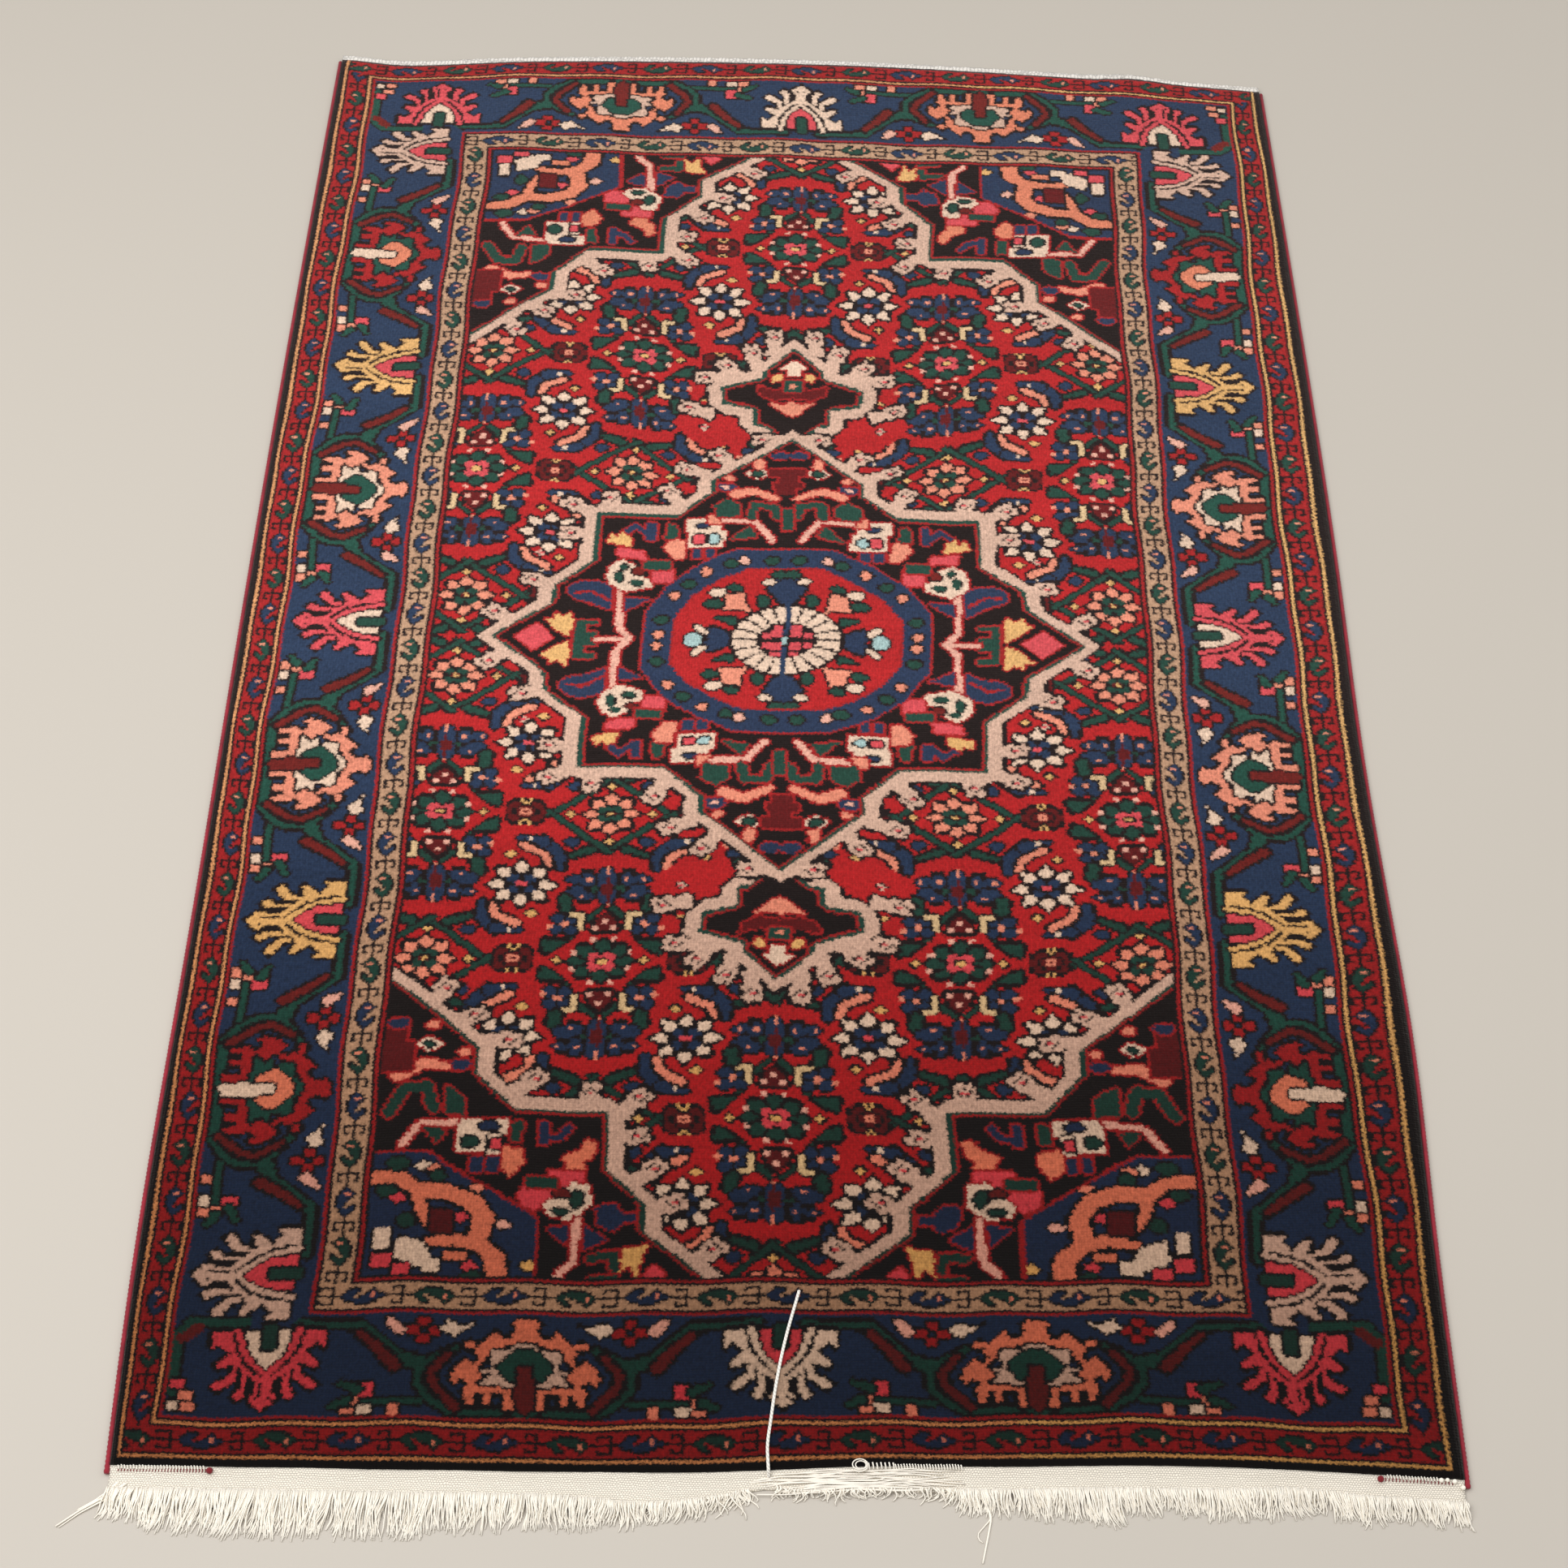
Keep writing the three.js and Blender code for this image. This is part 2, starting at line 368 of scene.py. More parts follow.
def fourPetal(p, cx, cy, sx, sy):
    # blue four-petal flower with a pale corner leaf on the side of the axis
    p.ink(p.box(cx, cy, 4.6, 4.6), "dark", None)
    for ox, oy in ((-1, -1), (1, -1), (-1, 1), (1, 1)):
        p.thin(p.disc(cx + 2.6 * ox, cy + 2.6 * oy, 2.3, 2.2), "navy")
    p.ink(p.disc(cx, cy, 1.3) | p.disc(cx + 5.2 * sx, cy - 1.5 * sy, 1.1), "salmon", None)
    leaf = [(cx - 2.5 * sx, cy + 4.8 * sy), (cx - 5.6 * sx, cy + 4.4 * sy), (cx - 5.8 * sx, cy - 1.5 * sy)]
    p.thin(p.stroke(leaf, 1.1, 1.0), "cream")


def crescent(p, sx, sy):
    # curved fish leaf beside an ivory rosette: blue outside, salmon inside, with a stalk
    p.ink(p.stroke([(13 * sx, 8.5 * sy), (12.8 * sx, 15 * sy), (7 * sx, 20.3 * sy)], 1.3, 2.7), "navy")
    p.thin(p.stroke([(7 * sx, 20.3 * sy), (-1 * sx, 22 * sy)], 2.5, 1.2), "navy")
    p.ink(p.stroke([(9.2 * sx, 9.6 * sy), (7.6 * sx, 14.4 * sy), (0.5 * sx, 18.4 * sy)], 1.2, 1.5), "salmon")
    p.ink(p.disc(2.5 * sx, 21.6 * sy, 1.0), "ivory", None)
    star(p, -4 * sx, 13.5 * sy)


def greenKnot(p):
    # green rosette between four leaf corners, with blue flowers round it
    for sx in (-1, 1):
        for sy in (-1, 1):
            leaf = [(20.5 * sx, 9 * sy), (20 * sx, 3 * sy), (16.5 * sx, 4.5 * sy), (11.5 * sx, 9 * sy)]
            p.ink(p.area(leaf), "green")
            p.thin(p.stroke([(2 * sx, 24 * sy), (8.5 * sx, 17 * sy), (11 * sx, 11 * sy)], 0.9), "green")
            fourPetal(p, 13.6 * sx, 16.8 * sy, sx, sy)
            p.ink(p.stroke([(14 * sx, 24 * sy), (14.5 * sx, 28 * sy)], 1.8, 2.2), "green")
        star(p, 14.5 * sx, 0)
        p.ink(p.area([(-4.8, 13.6 * sx), (4.8, 13.6 * sx), (3, 19 * sx), (0, 22 * sx), (-3, 19 * sx)]), "maroon")
        p.ink(p.box(-3, 15 * sx, 1.1, 1) | p.box(3, 15 * sx, 1.1, 1) | p.box(0, 18.6 * sx, 1, 1), "blush", None)
    rosette(p, "green", "rose", "gold", (7.9, 6.7), (2.8, 2.5))
    p.ink(p.disc(0, 0, 3.4, 2.9) & ~p.box(0, 0, 2.4, 2.0), "rose", None)
    for sx in (-1, 1):
        for sy in (-1, 1):
            p.ink(p.disc(9.6 * sx, 3.6 * sy, 1.1) | p.disc(3.4 * sx, 10 * sy, 1.1), "blush", None)


def salmonKnot(p):
    # salmon rosette in a green lozenge whose lines cross at the corners
    for sx in (-1, 1):
        for sy in (-1, 1):
            p.thin(p.stroke([(22 * sx, -1 * sy), (-1 * sx, 18.5 * sy)], 1.0), "green")
            p.ink(p.stroke([(6 * sx, 17 * sy), (13 * sx, 20 * sy)], 1.7, 1.0), "green")
            p.thin(p.disc(13 * sx, 13.5 * sy, 2.4, 2.0), "navy")
        star(p, 14.5 * sx, 0)
        star(p, 0, 13 * sx)
    rosette(p, "salmon", "green", "maroon", (6.9, 7.1), (2.3, 2.2))
    p.ink(p.disc(0, 0, 1.0), "gold", None)


def fieldLattice(p):
    stepX, stepY = lattice["step"]
    p.cells[p.open] = dye["red"]
    places = [(column, row) for column in range(3) for row in range(-1, 5)]
    for column, row in places:
        near = p.near((column + 0.5) * stepX, lattice["first"] + (row + 0.5) * stepY, 34)
        lean = 1 if (column + row) % 2 == 0 else -1
        crescent(near, lean, 1)
        crescent(near, -lean, -1)
    for column, row in places:
        cx, cy = column * stepX, lattice["first"] + row * stepY
        green = (column + row) % 2 == 1
        (greenKnot if green else salmonKnot)(p.near(cx, cy, 34))
        # palmettes point to the green rosettes, square flowers stand between neighbours
        rows = palmetteChart[::-1] if green else palmetteChart
        p.near(cx, cy + stepY / 2, 22).charted(rows, {**letterDyes, "g": "green"}, 1.25, 1.3)
        flower = p.near(cx + stepX / 2, cy, 16)
        flower.ink(flower.box(0, 0, 7.4, 6.4) & flower.rhomb(0, 0, 12, 10.5), "dark", None)
        flower.charted(squareFlowerChart, letterDyes, 1.3, 1.15)
    for column, row in places:
        rosette(p.near((column + 0.5) * stepX, lattice["first"] + (row + 0.5) * stepY, 16), "ivory", "navy", "rose")


# medallion, pendants and corner pieces share one stepped, hooked outline
medallionOutline = [(108, 0), (88, 18), (87, 28), (72, 41), (72, 67), (41, 67), (29, 81), (29, 89), (0, 118)]
pendantOutline = [(0, 113), (10, 124), (15, 125), (15, 134), (27, 136.5), (28, 146), (12, 152), (12, 155),
                  (0, 168.5)]
cornerOutline = [(131, 166), (97, 198), (97, 209), (85, 224), (54, 224), (54, 248), (41, 263), (41, 274), (15, 296)]
# hooked heads on the beige frame: across, along, turn in degrees
headTable = [
    (108, 13, 145), (95, 30, 170), (92, 44, 130), (82, 56, 180), (82, 72, 150), (67, 75, 100), (45, 81, 120),
    (39, 96, 160), (27, 106, 130), (11, 117, 180), (34, 123.5, 250), (40, 133, 170), (35, 151, 185), (27, 158, 135),
    (17, 166, 110), (8, 174, 90), (111, 172, -60), (100, 184, -20), (88, 195, 0), (78, 211, -40), (60, 216, -80),
    (44, 219, -45), (45, 235, -10), (39, 248, -40), (32, 262, -20), (19, 280, -35),
]


def steppedPiece(p, shape):
    # black piece with its red and green lines and hooked cream frame
    inner = p.area(shape)
    wide = grown(inner, 10)
    for hx, hy, turn in headTable:
        near = p.disc(hx, hy, 10)
        if not (wide & near).any():
            continue
        c, s = math.cos(math.radians(turn)), math.sin(math.radians(turn))
        head = p.moved((p.x - hx) * c - (p.y - hy) * s, (p.y - hy) * c + (p.x - hx) * s)
        wide |= near & head.area([(10, 4), (4, 2.4), (2.4, 3.8), (-0.6, 2.7), (-3, 3.6), (-4.6, 0.7), (-3, -0.8),
                                  (-4.2, -2.8), (-0.8, -3.2), (2.4, -3.6), (4.4, -2.2), (10, -3.4)])
    p.ink(wide & ~inner, "beige")
    p.ink(inner, "green", None)
    core = p.only(~grown(~inner, 3))
    core.ink(core.open, "brick", None)
    core = p.only(~grown(~inner, 5))
    core.ink(core.open, "black", None)
    return core


def headEyes(p):
    for hx, hy, _ in headTable:
        p.ink(p.rhomb(hx, hy, 2.6, 2.3), "dark", None)
        p.ink(p.rhomb(hx, hy, 1.9, 1.6), "beige", None)
        p.ink(p.box(hx, hy, 0.8, 0.7), "rose", None)


def medallionFigures(p):
    # tips left and right: rose lozenge, yellow tulips and green comb
    p.lined(p.rhomb(92, 0, 7.4, 7), "rose")
    p.lined(p.area([(79, 1), (84.5, 4.5), (89, 10), (86, 10), (85.5, 13.5), (82.5, 11.5), (79.5, 14.5),
                    (78.5, 9)]), "gold")
    p.lined(p.block(69, -1, 77, 3.4) | p.block(73.5, 0, 77, 10) | p.block(69, 7.5, 77, 10), "green")
    p.lined(p.stroke([(69, 0), (57, 0), (61.5, 5.5), (62.5, 26)], 1.2), "blush")
    # blue lobed leaf on the stem
    p.lined(p.disc(73, 25, 8.2, 5.4) | p.area([(65, 15), (65, 24), (74, 27), (78, 22)]), "blue")
    p.ink(p.stroke([(66, 20), (73, 25), (78.5, 24)], 0.7), "brick", None)
    p.lined(p.area([(60.5, 14.5), (60.5, 21.5), (51, 21)]), "blue")
    # white flower with green cells and rose buds
    p.lined(p.block(42.5, 30, 50.5, 38), "rose")
    p.lined(p.area([(66.5, 29), (60, 24.5), (50.5, 27.5), (51, 32), (56.5, 34), (56, 38.5), (61, 41.5),
                    (65.5, 38.5), (67, 33.5)]), "ivory")
    flowerCells = p.disc(56, 29.6, 2.6, 1.6) | p.disc(62.4, 32.6, 1.6, 3) | p.disc(60.5, 37.6, 1.8, 1.4)
    p.ink(flowerCells, "green", "dark", 1)
    p.thin(p.disc(55, 35.6, 2.2, 1.8), "rust")
    p.lined(p.block(43.5, 37, 53, 41.6), "green")
    p.lined(p.area([(52.5, 42), (62.5, 43), (63.5, 47.5), (53.5, 47)]), "rose")
    p.lined(p.area([(58, 49), (62, 49.5), (67.5, 51), (66, 55.5), (63.5, 53), (61.5, 58), (58.5, 53)]), "gold")
    # lower flower: white box with cells
    p.lined(p.block(23.5, 49, 37, 57.5) | p.block(25.5, 57, 38.5, 64), "ivory")
    p.thin(p.box(33, 53, 1.8, 2.1), "rose")
    p.thin(p.disc(27.6, 53, 1.9, 2.2), "sky")
    p.thin(p.disc(32, 60.5, 2.6, 1.2), "blue")
    p.lined(p.block(27, 42.5, 30.5, 47.5) | p.block(32, 42.5, 35.5, 47.5), "blue")
    p.lined(p.area([(38, 43), (42, 43), (46, 49), (44, 54), (38.5, 53)]), "salmon")
    p.lined(p.area([(41, 54.5), (46, 53.5), (45, 62), (42, 61)]), "green")
    p.lined(p.block(49.5, 53, 53, 62) | p.stroke([(53, 56), (57, 60), (60, 57)], 1.3), "blue")
    p.lined(p.block(24.5, 61, 30, 66), "salmon")
    p.lined(p.stroke([(24, 63.5), (12, 63), (5.5, 53)], 1.2), "blush")
    p.lined(p.area([(11, 55), (21, 53), (14, 61)]), "green")
    # top of the medallion: green leaves, salmon horn and maroon flower
    p.lined(p.area([(18, 66), (27, 65), (28, 72), (23, 76), (18, 73)]), "green")
    p.lined(p.stroke([(13.5, 66), (12.5, 73), (5, 72), (3.5, 66)], 1.8), "green")
    p.lined(p.block(-1, 58, 2.2, 70), "green")
    p.lined(p.stroke([(20, 80), (13, 82.5), (4, 77)], 2.6, 1.4), "salmon")
    p.lined(p.disc(23.5, 84.5, 3.8, 2.6), "blue")
    p.ink(p.disc(23.5, 84.5, 1.3, 1.1), "blush", None)
    p.lined(p.stroke([(22, 90), (26, 93)], 1.6), "salmon")
    p.lined(p.rhomb(11.5, 94, 5, 3.6), "ivory")
    p.lined(p.disc(11.5, 94, 2.0, 1.7), "green", "dark")
    p.lined(p.block(-1, 80, 3.5, 97) | p.block(-1, 92, 7, 97) | p.block(-1, 84, 5.5, 88), "maroon")
    p.lined(p.area([(9, 98), (12.5, 97), (13.5, 103), (10, 104)]), "salmon")
    p.lined(p.disc(3.5, 106, 3.6, 2.4), "blue")


def centreRing(p):
    # blue ring, red disc, split ivory rosette and salmon corner flowers
    def twelveSided(w, h):
        return p.area([(-1, -1), (w, -1), (w, 0.32 * h), (0.84 * w, 0.62 * h), (0.6 * w, 0.84 * h),
                       (0.34 * w, h), (-1, h)])
    p.ink(twelveSided(52, 48), "blue", "brick", 2)
    for bx, by, name in [(47, 3, "salmon"), (46.5, 11, "green"), (42, 23.5, "salmon"), (36.5, 29.5, "green"),
                         (29.5, 35.5, "salmon"), (20.5, 39.5, "green"), (15.5, 41.5, "blush"), (5, 42, "green")]:
        p.thin(p.disc(bx, by, 2.6 if name == "green" else 1.8, 2.0), name)
    p.ink(twelveSided(41, 36.5), "red", "brick", 2)
    p = p.only(twelveSided(41, 36.5))
    p.ink(p.area([(19, -1), (27, -1), (31, 3), (28, 6.5), (24, 5), (19, 1.6)]), "blue")
    p.thin(p.disc(34, 0, 3.2, 3.6), "sky")
    p.thin(p.stroke([(30, 4), (33, 7)], 1.2), "ivory")
    p.thin(p.area([(19, 8), (21, 8), (27, 11.5), (19, 11.8)]), "green")
    p.thin(p.area([(13, 13.5), (16, 15.5), (24, 15.5), (22.5, 19), (22.5, 23), (16, 24.5), (15.5, 19)]), "salmon")
    p.thin(p.disc(27, 18.5, 3.3, 2) | p.disc(19, 27, 2.6, 1.8) | p.disc(9, 20.5, 2.2, 3.2), "green")
    p.thin(p.disc(25.5, 24.5, 3.2, 2.2), "ivory")
    p.ink(p.area([(-1, 18), (3.2, 20), (7, 27), (3, 37), (-1, 37)]), "blue")
    p.thin(p.disc(6.5, 30.5, 2.4, 1.7), "ivory")
    p.thin(p.disc(2.5, 34.5, 3, 1.8), "green")
    # ring of ivory petals round a rose heart, split by a dark bar
    ring = p.disc(0, 0, 19.6, 17.6) & ~p.disc(0, 0, 11, 9.4)
    turn = np.degrees(np.arctan2(p.y / 19, p.x / 19.5))
    p.ink(ring, "ivory")
    p.ink(ring & (abs((turn + 9) % 18 - 9) < 1.8), "dark", None)
    p.ink(p.disc(0, 0, 10, 8.8), "dark", None)
    p.ink(p.box(3.6, 3.4, 2, 2) | p.box(7.6, 2.4, 1.4, 1.6) | p.box(3.4, 7, 1.7, 1), "rose", None)
    p.ink(p.block(-1, 3, 0.9, 19), "navy", None)
    p.ink(p.block(-1, -1, 1, 2), "sky", None)


def pendantFigures(p):
    # ivory bud, yellow tips, green heart on maroon wings and a salmon foot
    p.lined(p.area([(-1, 162), (1.6, 160), (5.4, 156.5), (2.6, 156.5), (2.6, 152.5), (-1, 152.5)]), "ivory")
    p.lined(p.area([(4.5, 153.5), (8.5, 152.5), (8, 149), (4.5, 150)]), "gold")
    p.lined(p.area([(3, 147.5), (6, 144), (13.5, 147), (12.5, 142), (7, 139), (-1, 140.5), (-1, 147.5)]), "maroon")
    p.lined(p.box(0, 146.5, 3.6, 3), "green")
    p.ink(p.disc(0, 146.5, 1.4, 1.2), "salmon", None)
    p.lined(p.area([(-1, 129.5), (2, 131), (9, 137.5), (3.5, 136.5), (-1, 138)]), "salmon")


def cornerFigures(p):
    # sprays of the black corner piece
    p.lined(p.stroke([(121, 240), (116, 231), (103, 229.5)], 1.2), "blush")
    p.lined(p.block(87, 228, 102, 234) | p.block(92, 230, 103, 242), "ivory")
    p.thin(p.disc(99, 237.5, 2.6, 2.6), "green")
    p.thin(p.disc(93.5, 231, 3.2, 1.6), "blue")
    p.lined(p.block(89, 234.6, 93, 242.4), "ivory", "dark")
    p.thin(p.box(91, 238.5, 1.5, 1.9), "rose")
    p.lined(p.area([(82, 241), (88, 240), (89, 248), (85, 252), (81, 246)]), "orange")
    p.lined(p.area([(82, 229), (86, 230), (86, 238), (82.5, 238)]) |
            p.area([(107, 233), (115, 232), (110, 239)]), "green")
    p.lined(p.block(89.5, 243.5, 93, 249.5) | p.block(94.5, 243.5, 98, 249.5), "blue")
    p.lined(p.block(74, 229, 77, 239) | p.stroke([(74, 236), (70, 235), (67.5, 231)], 1.3), "blue")
    p.lined(p.area([(104, 216), (108, 214), (108, 226), (101, 227), (101, 220)]), "green")
    p.lined(p.stroke([(126, 226), (121, 216), (114, 215), (112, 224)], 2.0), "green")
    p.lined(p.stroke([(123, 210), (115, 205.5), (107, 206.5)], 2.6, 1.4), "salmon")
    p.lined(p.block(119, 189, 131, 209) & ~p.block(118, 188, 122, 196), "maroon")
    p.lined(p.rhomb(114, 197, 4.6, 3.2), "ivory")
    p.thin(p.disc(114, 197, 1.5, 1.2), "green")
    p.lined(p.disc(103, 205.6, 3.4, 2.2) | p.disc(125, 188, 3.4, 2.2), "blue")
    p.lined(p.disc(113.5, 189, 2.2, 1.6) | p.disc(102, 200, 2.2, 1.6), "salmon")
    p.lined(p.area([(67, 248), (69, 243), (63, 240), (61, 235.5), (58, 237), (59, 243), (62, 245),
                    (61, 248)]), "orange")
    p.lined(p.block(61, 248.5, 73, 255), "rose")
    p.lined(p.disc(76.5, 259.5, 5, 5.4), "rose")
    p.lined(p.area([(59, 254), (65, 253), (67, 257), (74, 263), (72, 267), (64, 268.5), (58.5, 262)]), "ivory")
    p.thin(p.disc(63, 260, 1.9, 3) | p.disc(68, 265, 2.6, 1.2), "green")
    p.thin(p.disc(68, 258, 2.6, 1.6), "rust")
    p.lined(p.block(70, 252, 80, 256), "green")
    p.lined(p.area([(47, 268), (51, 262), (57, 263), (56, 270), (51, 273)]) | p.block(44, 266, 50, 269.5), "blue")
    p.lined(p.stroke([(62.5, 268), (63.5, 285), (67.5, 289), (68, 292.5), (59, 293)], 1.2), "blush")
    p.lined(p.area([(53, 276), (60.5, 270), (60.5, 280)]) | p.area([(65, 270), (73, 272), (66, 279)]), "blue")
    p.lined(p.area([(40, 279), (48, 280), (49, 290), (45.5, 286), (43, 291), (42, 284)]), "gold")
    p.lined(p.block(49, 290, 58, 294) | p.stroke([(58, 283), (51, 282), (50.5, 287)], 1.5), "green")
    p.lined(p.area([(31, 294), (38, 286), (43, 294)]), "rose")
    # blue inner corner with its orange leaf and white flower
    corner = p.area([(140, 243), (112, 243), (96, 254), (76, 268), (76, 300), (140, 300)])
    p.ink(corner, "blue", "brick")
    p = p.only(corner)
    p.ink(p.stroke([(132, 241), (112, 246), (96, 258), (82, 272), (80, 300)], 0.7), "navy", None)
    leaf = p.stroke([(131, 252), (120, 253), (114, 258), (104, 258.5), (96, 262), (92.5, 268), (94, 276)], 2.4, 3.2)
    leaf |= p.stroke([(114, 259), (112.5, 266), (110, 272)], 2.0, 1.4)
    leaf |= p.stroke([(110, 278.5), (101, 277), (93, 279), (88, 284), (86.5, 297)], 1.6, 3.6)
    p.ink(leaf, "orange")
    for bx, by, name in [(113, 248, "ivory"), (109, 249, "salmon"), (120, 261, "rose"), (95, 256, "salmon"),
                         (86, 271, "blush"), (77.5, 287, "gold"), (100, 268, "rose"), (96, 287, "rose"),
                         (118, 281, "gold")]:
        p.thin(p.disc(bx, by, 2.4, 1.8), name)
    for bx, by, w, h in [(121, 247, 3.4, 2.6), (124, 258, 3, 2), (95, 291, 3, 2), (108, 252, 2.6, 2),
                         (117, 270, 2.6, 3)]:
        p.thin(p.disc(bx, by, w, h), "green")
    p.thin(p.block(102, 265.5, 109.5, 275), "maroon")
    flower = p.area([(119, 276), (111, 279), (108, 286), (113, 288), (120, 284)])
    p.thin(p.block(122, 273, 126.5, 281) | flower | p.block(105, 285, 111, 289.5), "ivory")
    p.thin(p.block(121, 282.5, 127, 287.5) | p.block(114.5, 287, 120, 290.5), "rose")
    p.thin(p.block(97, 282, 104, 285), "orange")


# main border: fans and round palmettes on a running stem; x runs along, y out from the inner edge
def fan(p, body, heart):
    # drawn once for both halves: arch, square petal, leaf and its line, club, bud and the fine middle rays
    p = p.moved(abs(p.x), p.y - 6)
    rays = p.stroke([(9.3, 0), (7.4, 6.5), (5.8, 10), (0, 16.5)], 1.0)
    rays |= p.area([(11.2, 0), (17, 0), (17, 6.5), (14.6, 4.6), (11.4, 7.6), (9.6, 8.6), (10.4, 3.5)])
    rays |= p.area([(9.4, 8.2), (11.2, 8), (15.2, 12), (15, 13.8), (10.4, 12.2), (8, 13.4), (7.6, 10)])
    rays |= p.stroke([(8, 12.5), (5.2, 15.5), (1.6, 18)], 0.9)
    rays |= p.stroke([(9.2, 14), (9.6, 17), (13.8, 20)], 0.8, 1.5)
    rays |= p.stroke([(6.4, 16), (6.2, 21), (7.4, 23.6)], 0.5, 1.4)
    rays |= p.stroke([(2, 18), (2, 23), (3.4, 25)], 0.6, 0.8)
    rays |= p.stroke([(0, 16), (0, 26)], 0.8) | p.rhomb(0, 26.3, 3.4, 2.8)
    p.ink(rays, body)
    p.thin(p.area([(2.6, 0), (6.8, 0), (5.4, 7.5), (3.2, 10.8), (0, 14.4), (-1, 14.4), (-1, 0)]), heart)
    p.thin(p.block(-1, -2, 2.2, 7.4), "green")


def roundPalmette(p, outer, band, core, stem):
    # ring of knobs and claws with an open foot; its stem runs to the outer edge
    p = p.moved(abs(p.x), p.y)
    ring = p.area([(-1, 2.3), (2.4, 2.3), (4, 3.6), (2.8, 5.6), (4.4, 8.8), (7.6, 9.4), (7.6, 12.4), (4, 10.8),
                   (-1, 10.4)])
    ring |= p.area([(7, 9.6), (9.2, 6.6), (14, 11), (15.4, 14), (14, 15.6), (15.6, 19.4), (12.4, 17), (11.2, 13),
                    (7, 12.4)])
    ring |= p.area([(12.6, 22.6), (15.4, 18.6), (18.2, 16.2), (21, 19), (22.4, 23), (21, 25.2), (19.6, 22.8),
                    (16, 25.4)])
    ring |= p.area([(3.4, 28.6), (4.8, 26.6), (14, 26), (15.6, 24.6), (18.4, 27.2), (17.4, 32.6), (16, 32.6),
                    (14.8, 28.6)])
    ring |= p.block(3.4, 27.5, 6.2, 34.6) | p.block(10.4, 28, 12.6, 32.6) | p.disc(16.8, 11.4, 1.9, 1.3)
    p.ink(ring, outer)
    p.thin(p.area([(-1, 10.8), (1.8, 10.8), (4, 12.8), (10, 13.2), (10.8, 15), (9.4, 19.6), (13.8, 20.4),
                   (10.4, 21.6), (13.2, 25), (4, 26.2), (-1, 26)]), band)
    p.thin(p.area([(-1, 13.4), (3.4, 13.8), (8.2, 18.4), (7.4, 21.2), (5.2, 24), (-1, 24)]), core)
    p.thin(p.area([(-1, 19), (1.8, 19.2), (2.2, 23), (3, 27), (2.6, 34), (-1, 37)]), stem)


def borderSpray(p):
    # green stems, red leaves and buds between a round palmette and the fans on both sides
    p = p.moved(abs(p.x), p.y)
    stems = p.stroke([(21, 12.5), (27, 16), (32, 20), (32, 26), (29.5, 30.5), (22, 35), (0, 35.6)], 1.0, 1.2)
    stems |= p.stroke([(31, 19), (38, 17), (46, 8.5), (50, 4.2), (70, 3.6)], 2.4, 0.9)
    p.ink(stems, "leaf")
    p.ink(p.stroke([(23.5, 15), (28.6, 22), (27.2, 26), (20.4, 33.6)], 1.1, 1.3), "rust")
    p.ink(p.stroke([(39.5, 19.5), (45, 12.5), (50, 7.5)], 1.9, 1.1), "rust")
    p.thin(p.stroke([(31, 32), (48, 31.8)], 1.0), "leaf")
    for fx, fy, w, h, name in [(47.5, 28, 2.4, 2.3, "rose"), (51, 31.5, 1.7, 1.5, "salmon"),
                               (47.5, 35, 2.5, 1.7, "ivory"), (52, 35.2, 1.8, 1.4, "salmon"),
                               (38.5, 35.2, 1.6, 1.6, "salmon")]:
        p.thin(p.box(fx, fy, w, h), name)
    p.thin(p.stroke([(50, 27.5), (55, 25.5)], 1.5, 0.9) | p.stroke([(53, 31.5), (57, 33.5)], 1.5, 0.9), "leaf")
    # red four-petal flower and ivory buds on the inner side
    for px, py in [(0, 3), (0, -3), (3.4, 0), (-3.4, 0)]:
        p.thin(p.box(31.2 + px, 6.4 + py, 1.9, 1.6), "brick")
    p.thin(p.area([(15, 2.8), (19, 4.5), (24, 2.6), (26, 6), (22, 8), (19.5, 6)]), "ivory")
    p.thin(p.area([(36, 6.5), (40, 2.8), (43, 2.2), (41, 6.5), (38.5, 8.5)]), "blush")


def mainBorder(p):
    gx, gy = chart["innerGuard"]
    bx, by = chart["mainBorder"]
    band = p.only((p.x < bx) & (p.y < by) & ((p.x >= gx) | (p.y >= gy)))
    band.cells[band.open] = dye["navy"]
    ends = band.only((p.y >= gy) & (p.y - gy > (p.x - gx) * 0.9)).moved(p.x, p.y - gy)
    sides = band.only((p.x >= gx) & (p.y - gy <= (p.x - gx) * 0.9)).moved(p.y, (p.x - gx) * 0.93)
    palmette = ends.moved(ends.x - 77, ends.y)
    borderSpray(palmette)
    roundPalmette(palmette, "orange", "beige", "leaf", "rust")
    fan(ends, "ivory", "rose")
    for middle, colours in [(72.5, ("salmon", "ivory", "leaf", "rust")),
                            (217.5, ("brick", "leaf", "orange", "ivory"))]:
        stretch = sides.only(abs(sides.x - middle) < 72.5)
        borderSpray(stretch.moved((sides.x - middle) * 1.06, sides.y))
        roundPalmette(stretch.moved((sides.x - middle) * 1.02, sides.y), *colours)
    for middle, body, heart in [(0, "rose", "ivory"), (145, "gold", "rose"), (290, "beige", "rose")]:
        fan(sides.moved(sides.x - middle, sides.y), body, heart)
    fan(band.moved(p.x - 154.5, p.y - gy), "rose", "ivory")
    corner = band.only((p.x > 160) & (p.y > gy))
    corner.thin(corner.stroke([(160, 307.5), (178, 307.5), (181.5, 312), (181.5, 334)], 1.4), "leaf")
    corner.ink(corner.stroke([(176, 310), (180.5, 314)], 1.8), "rust", None)
    for px, py, name in [(180, 330.5, "rose"), (177.5, 334.5, "salmon"), (180.5, 338.5, "ivory"),
                         (176.5, 339, "salmon")]:
        corner.thin(corner.box(px, py, 1.9, 1.5), name)
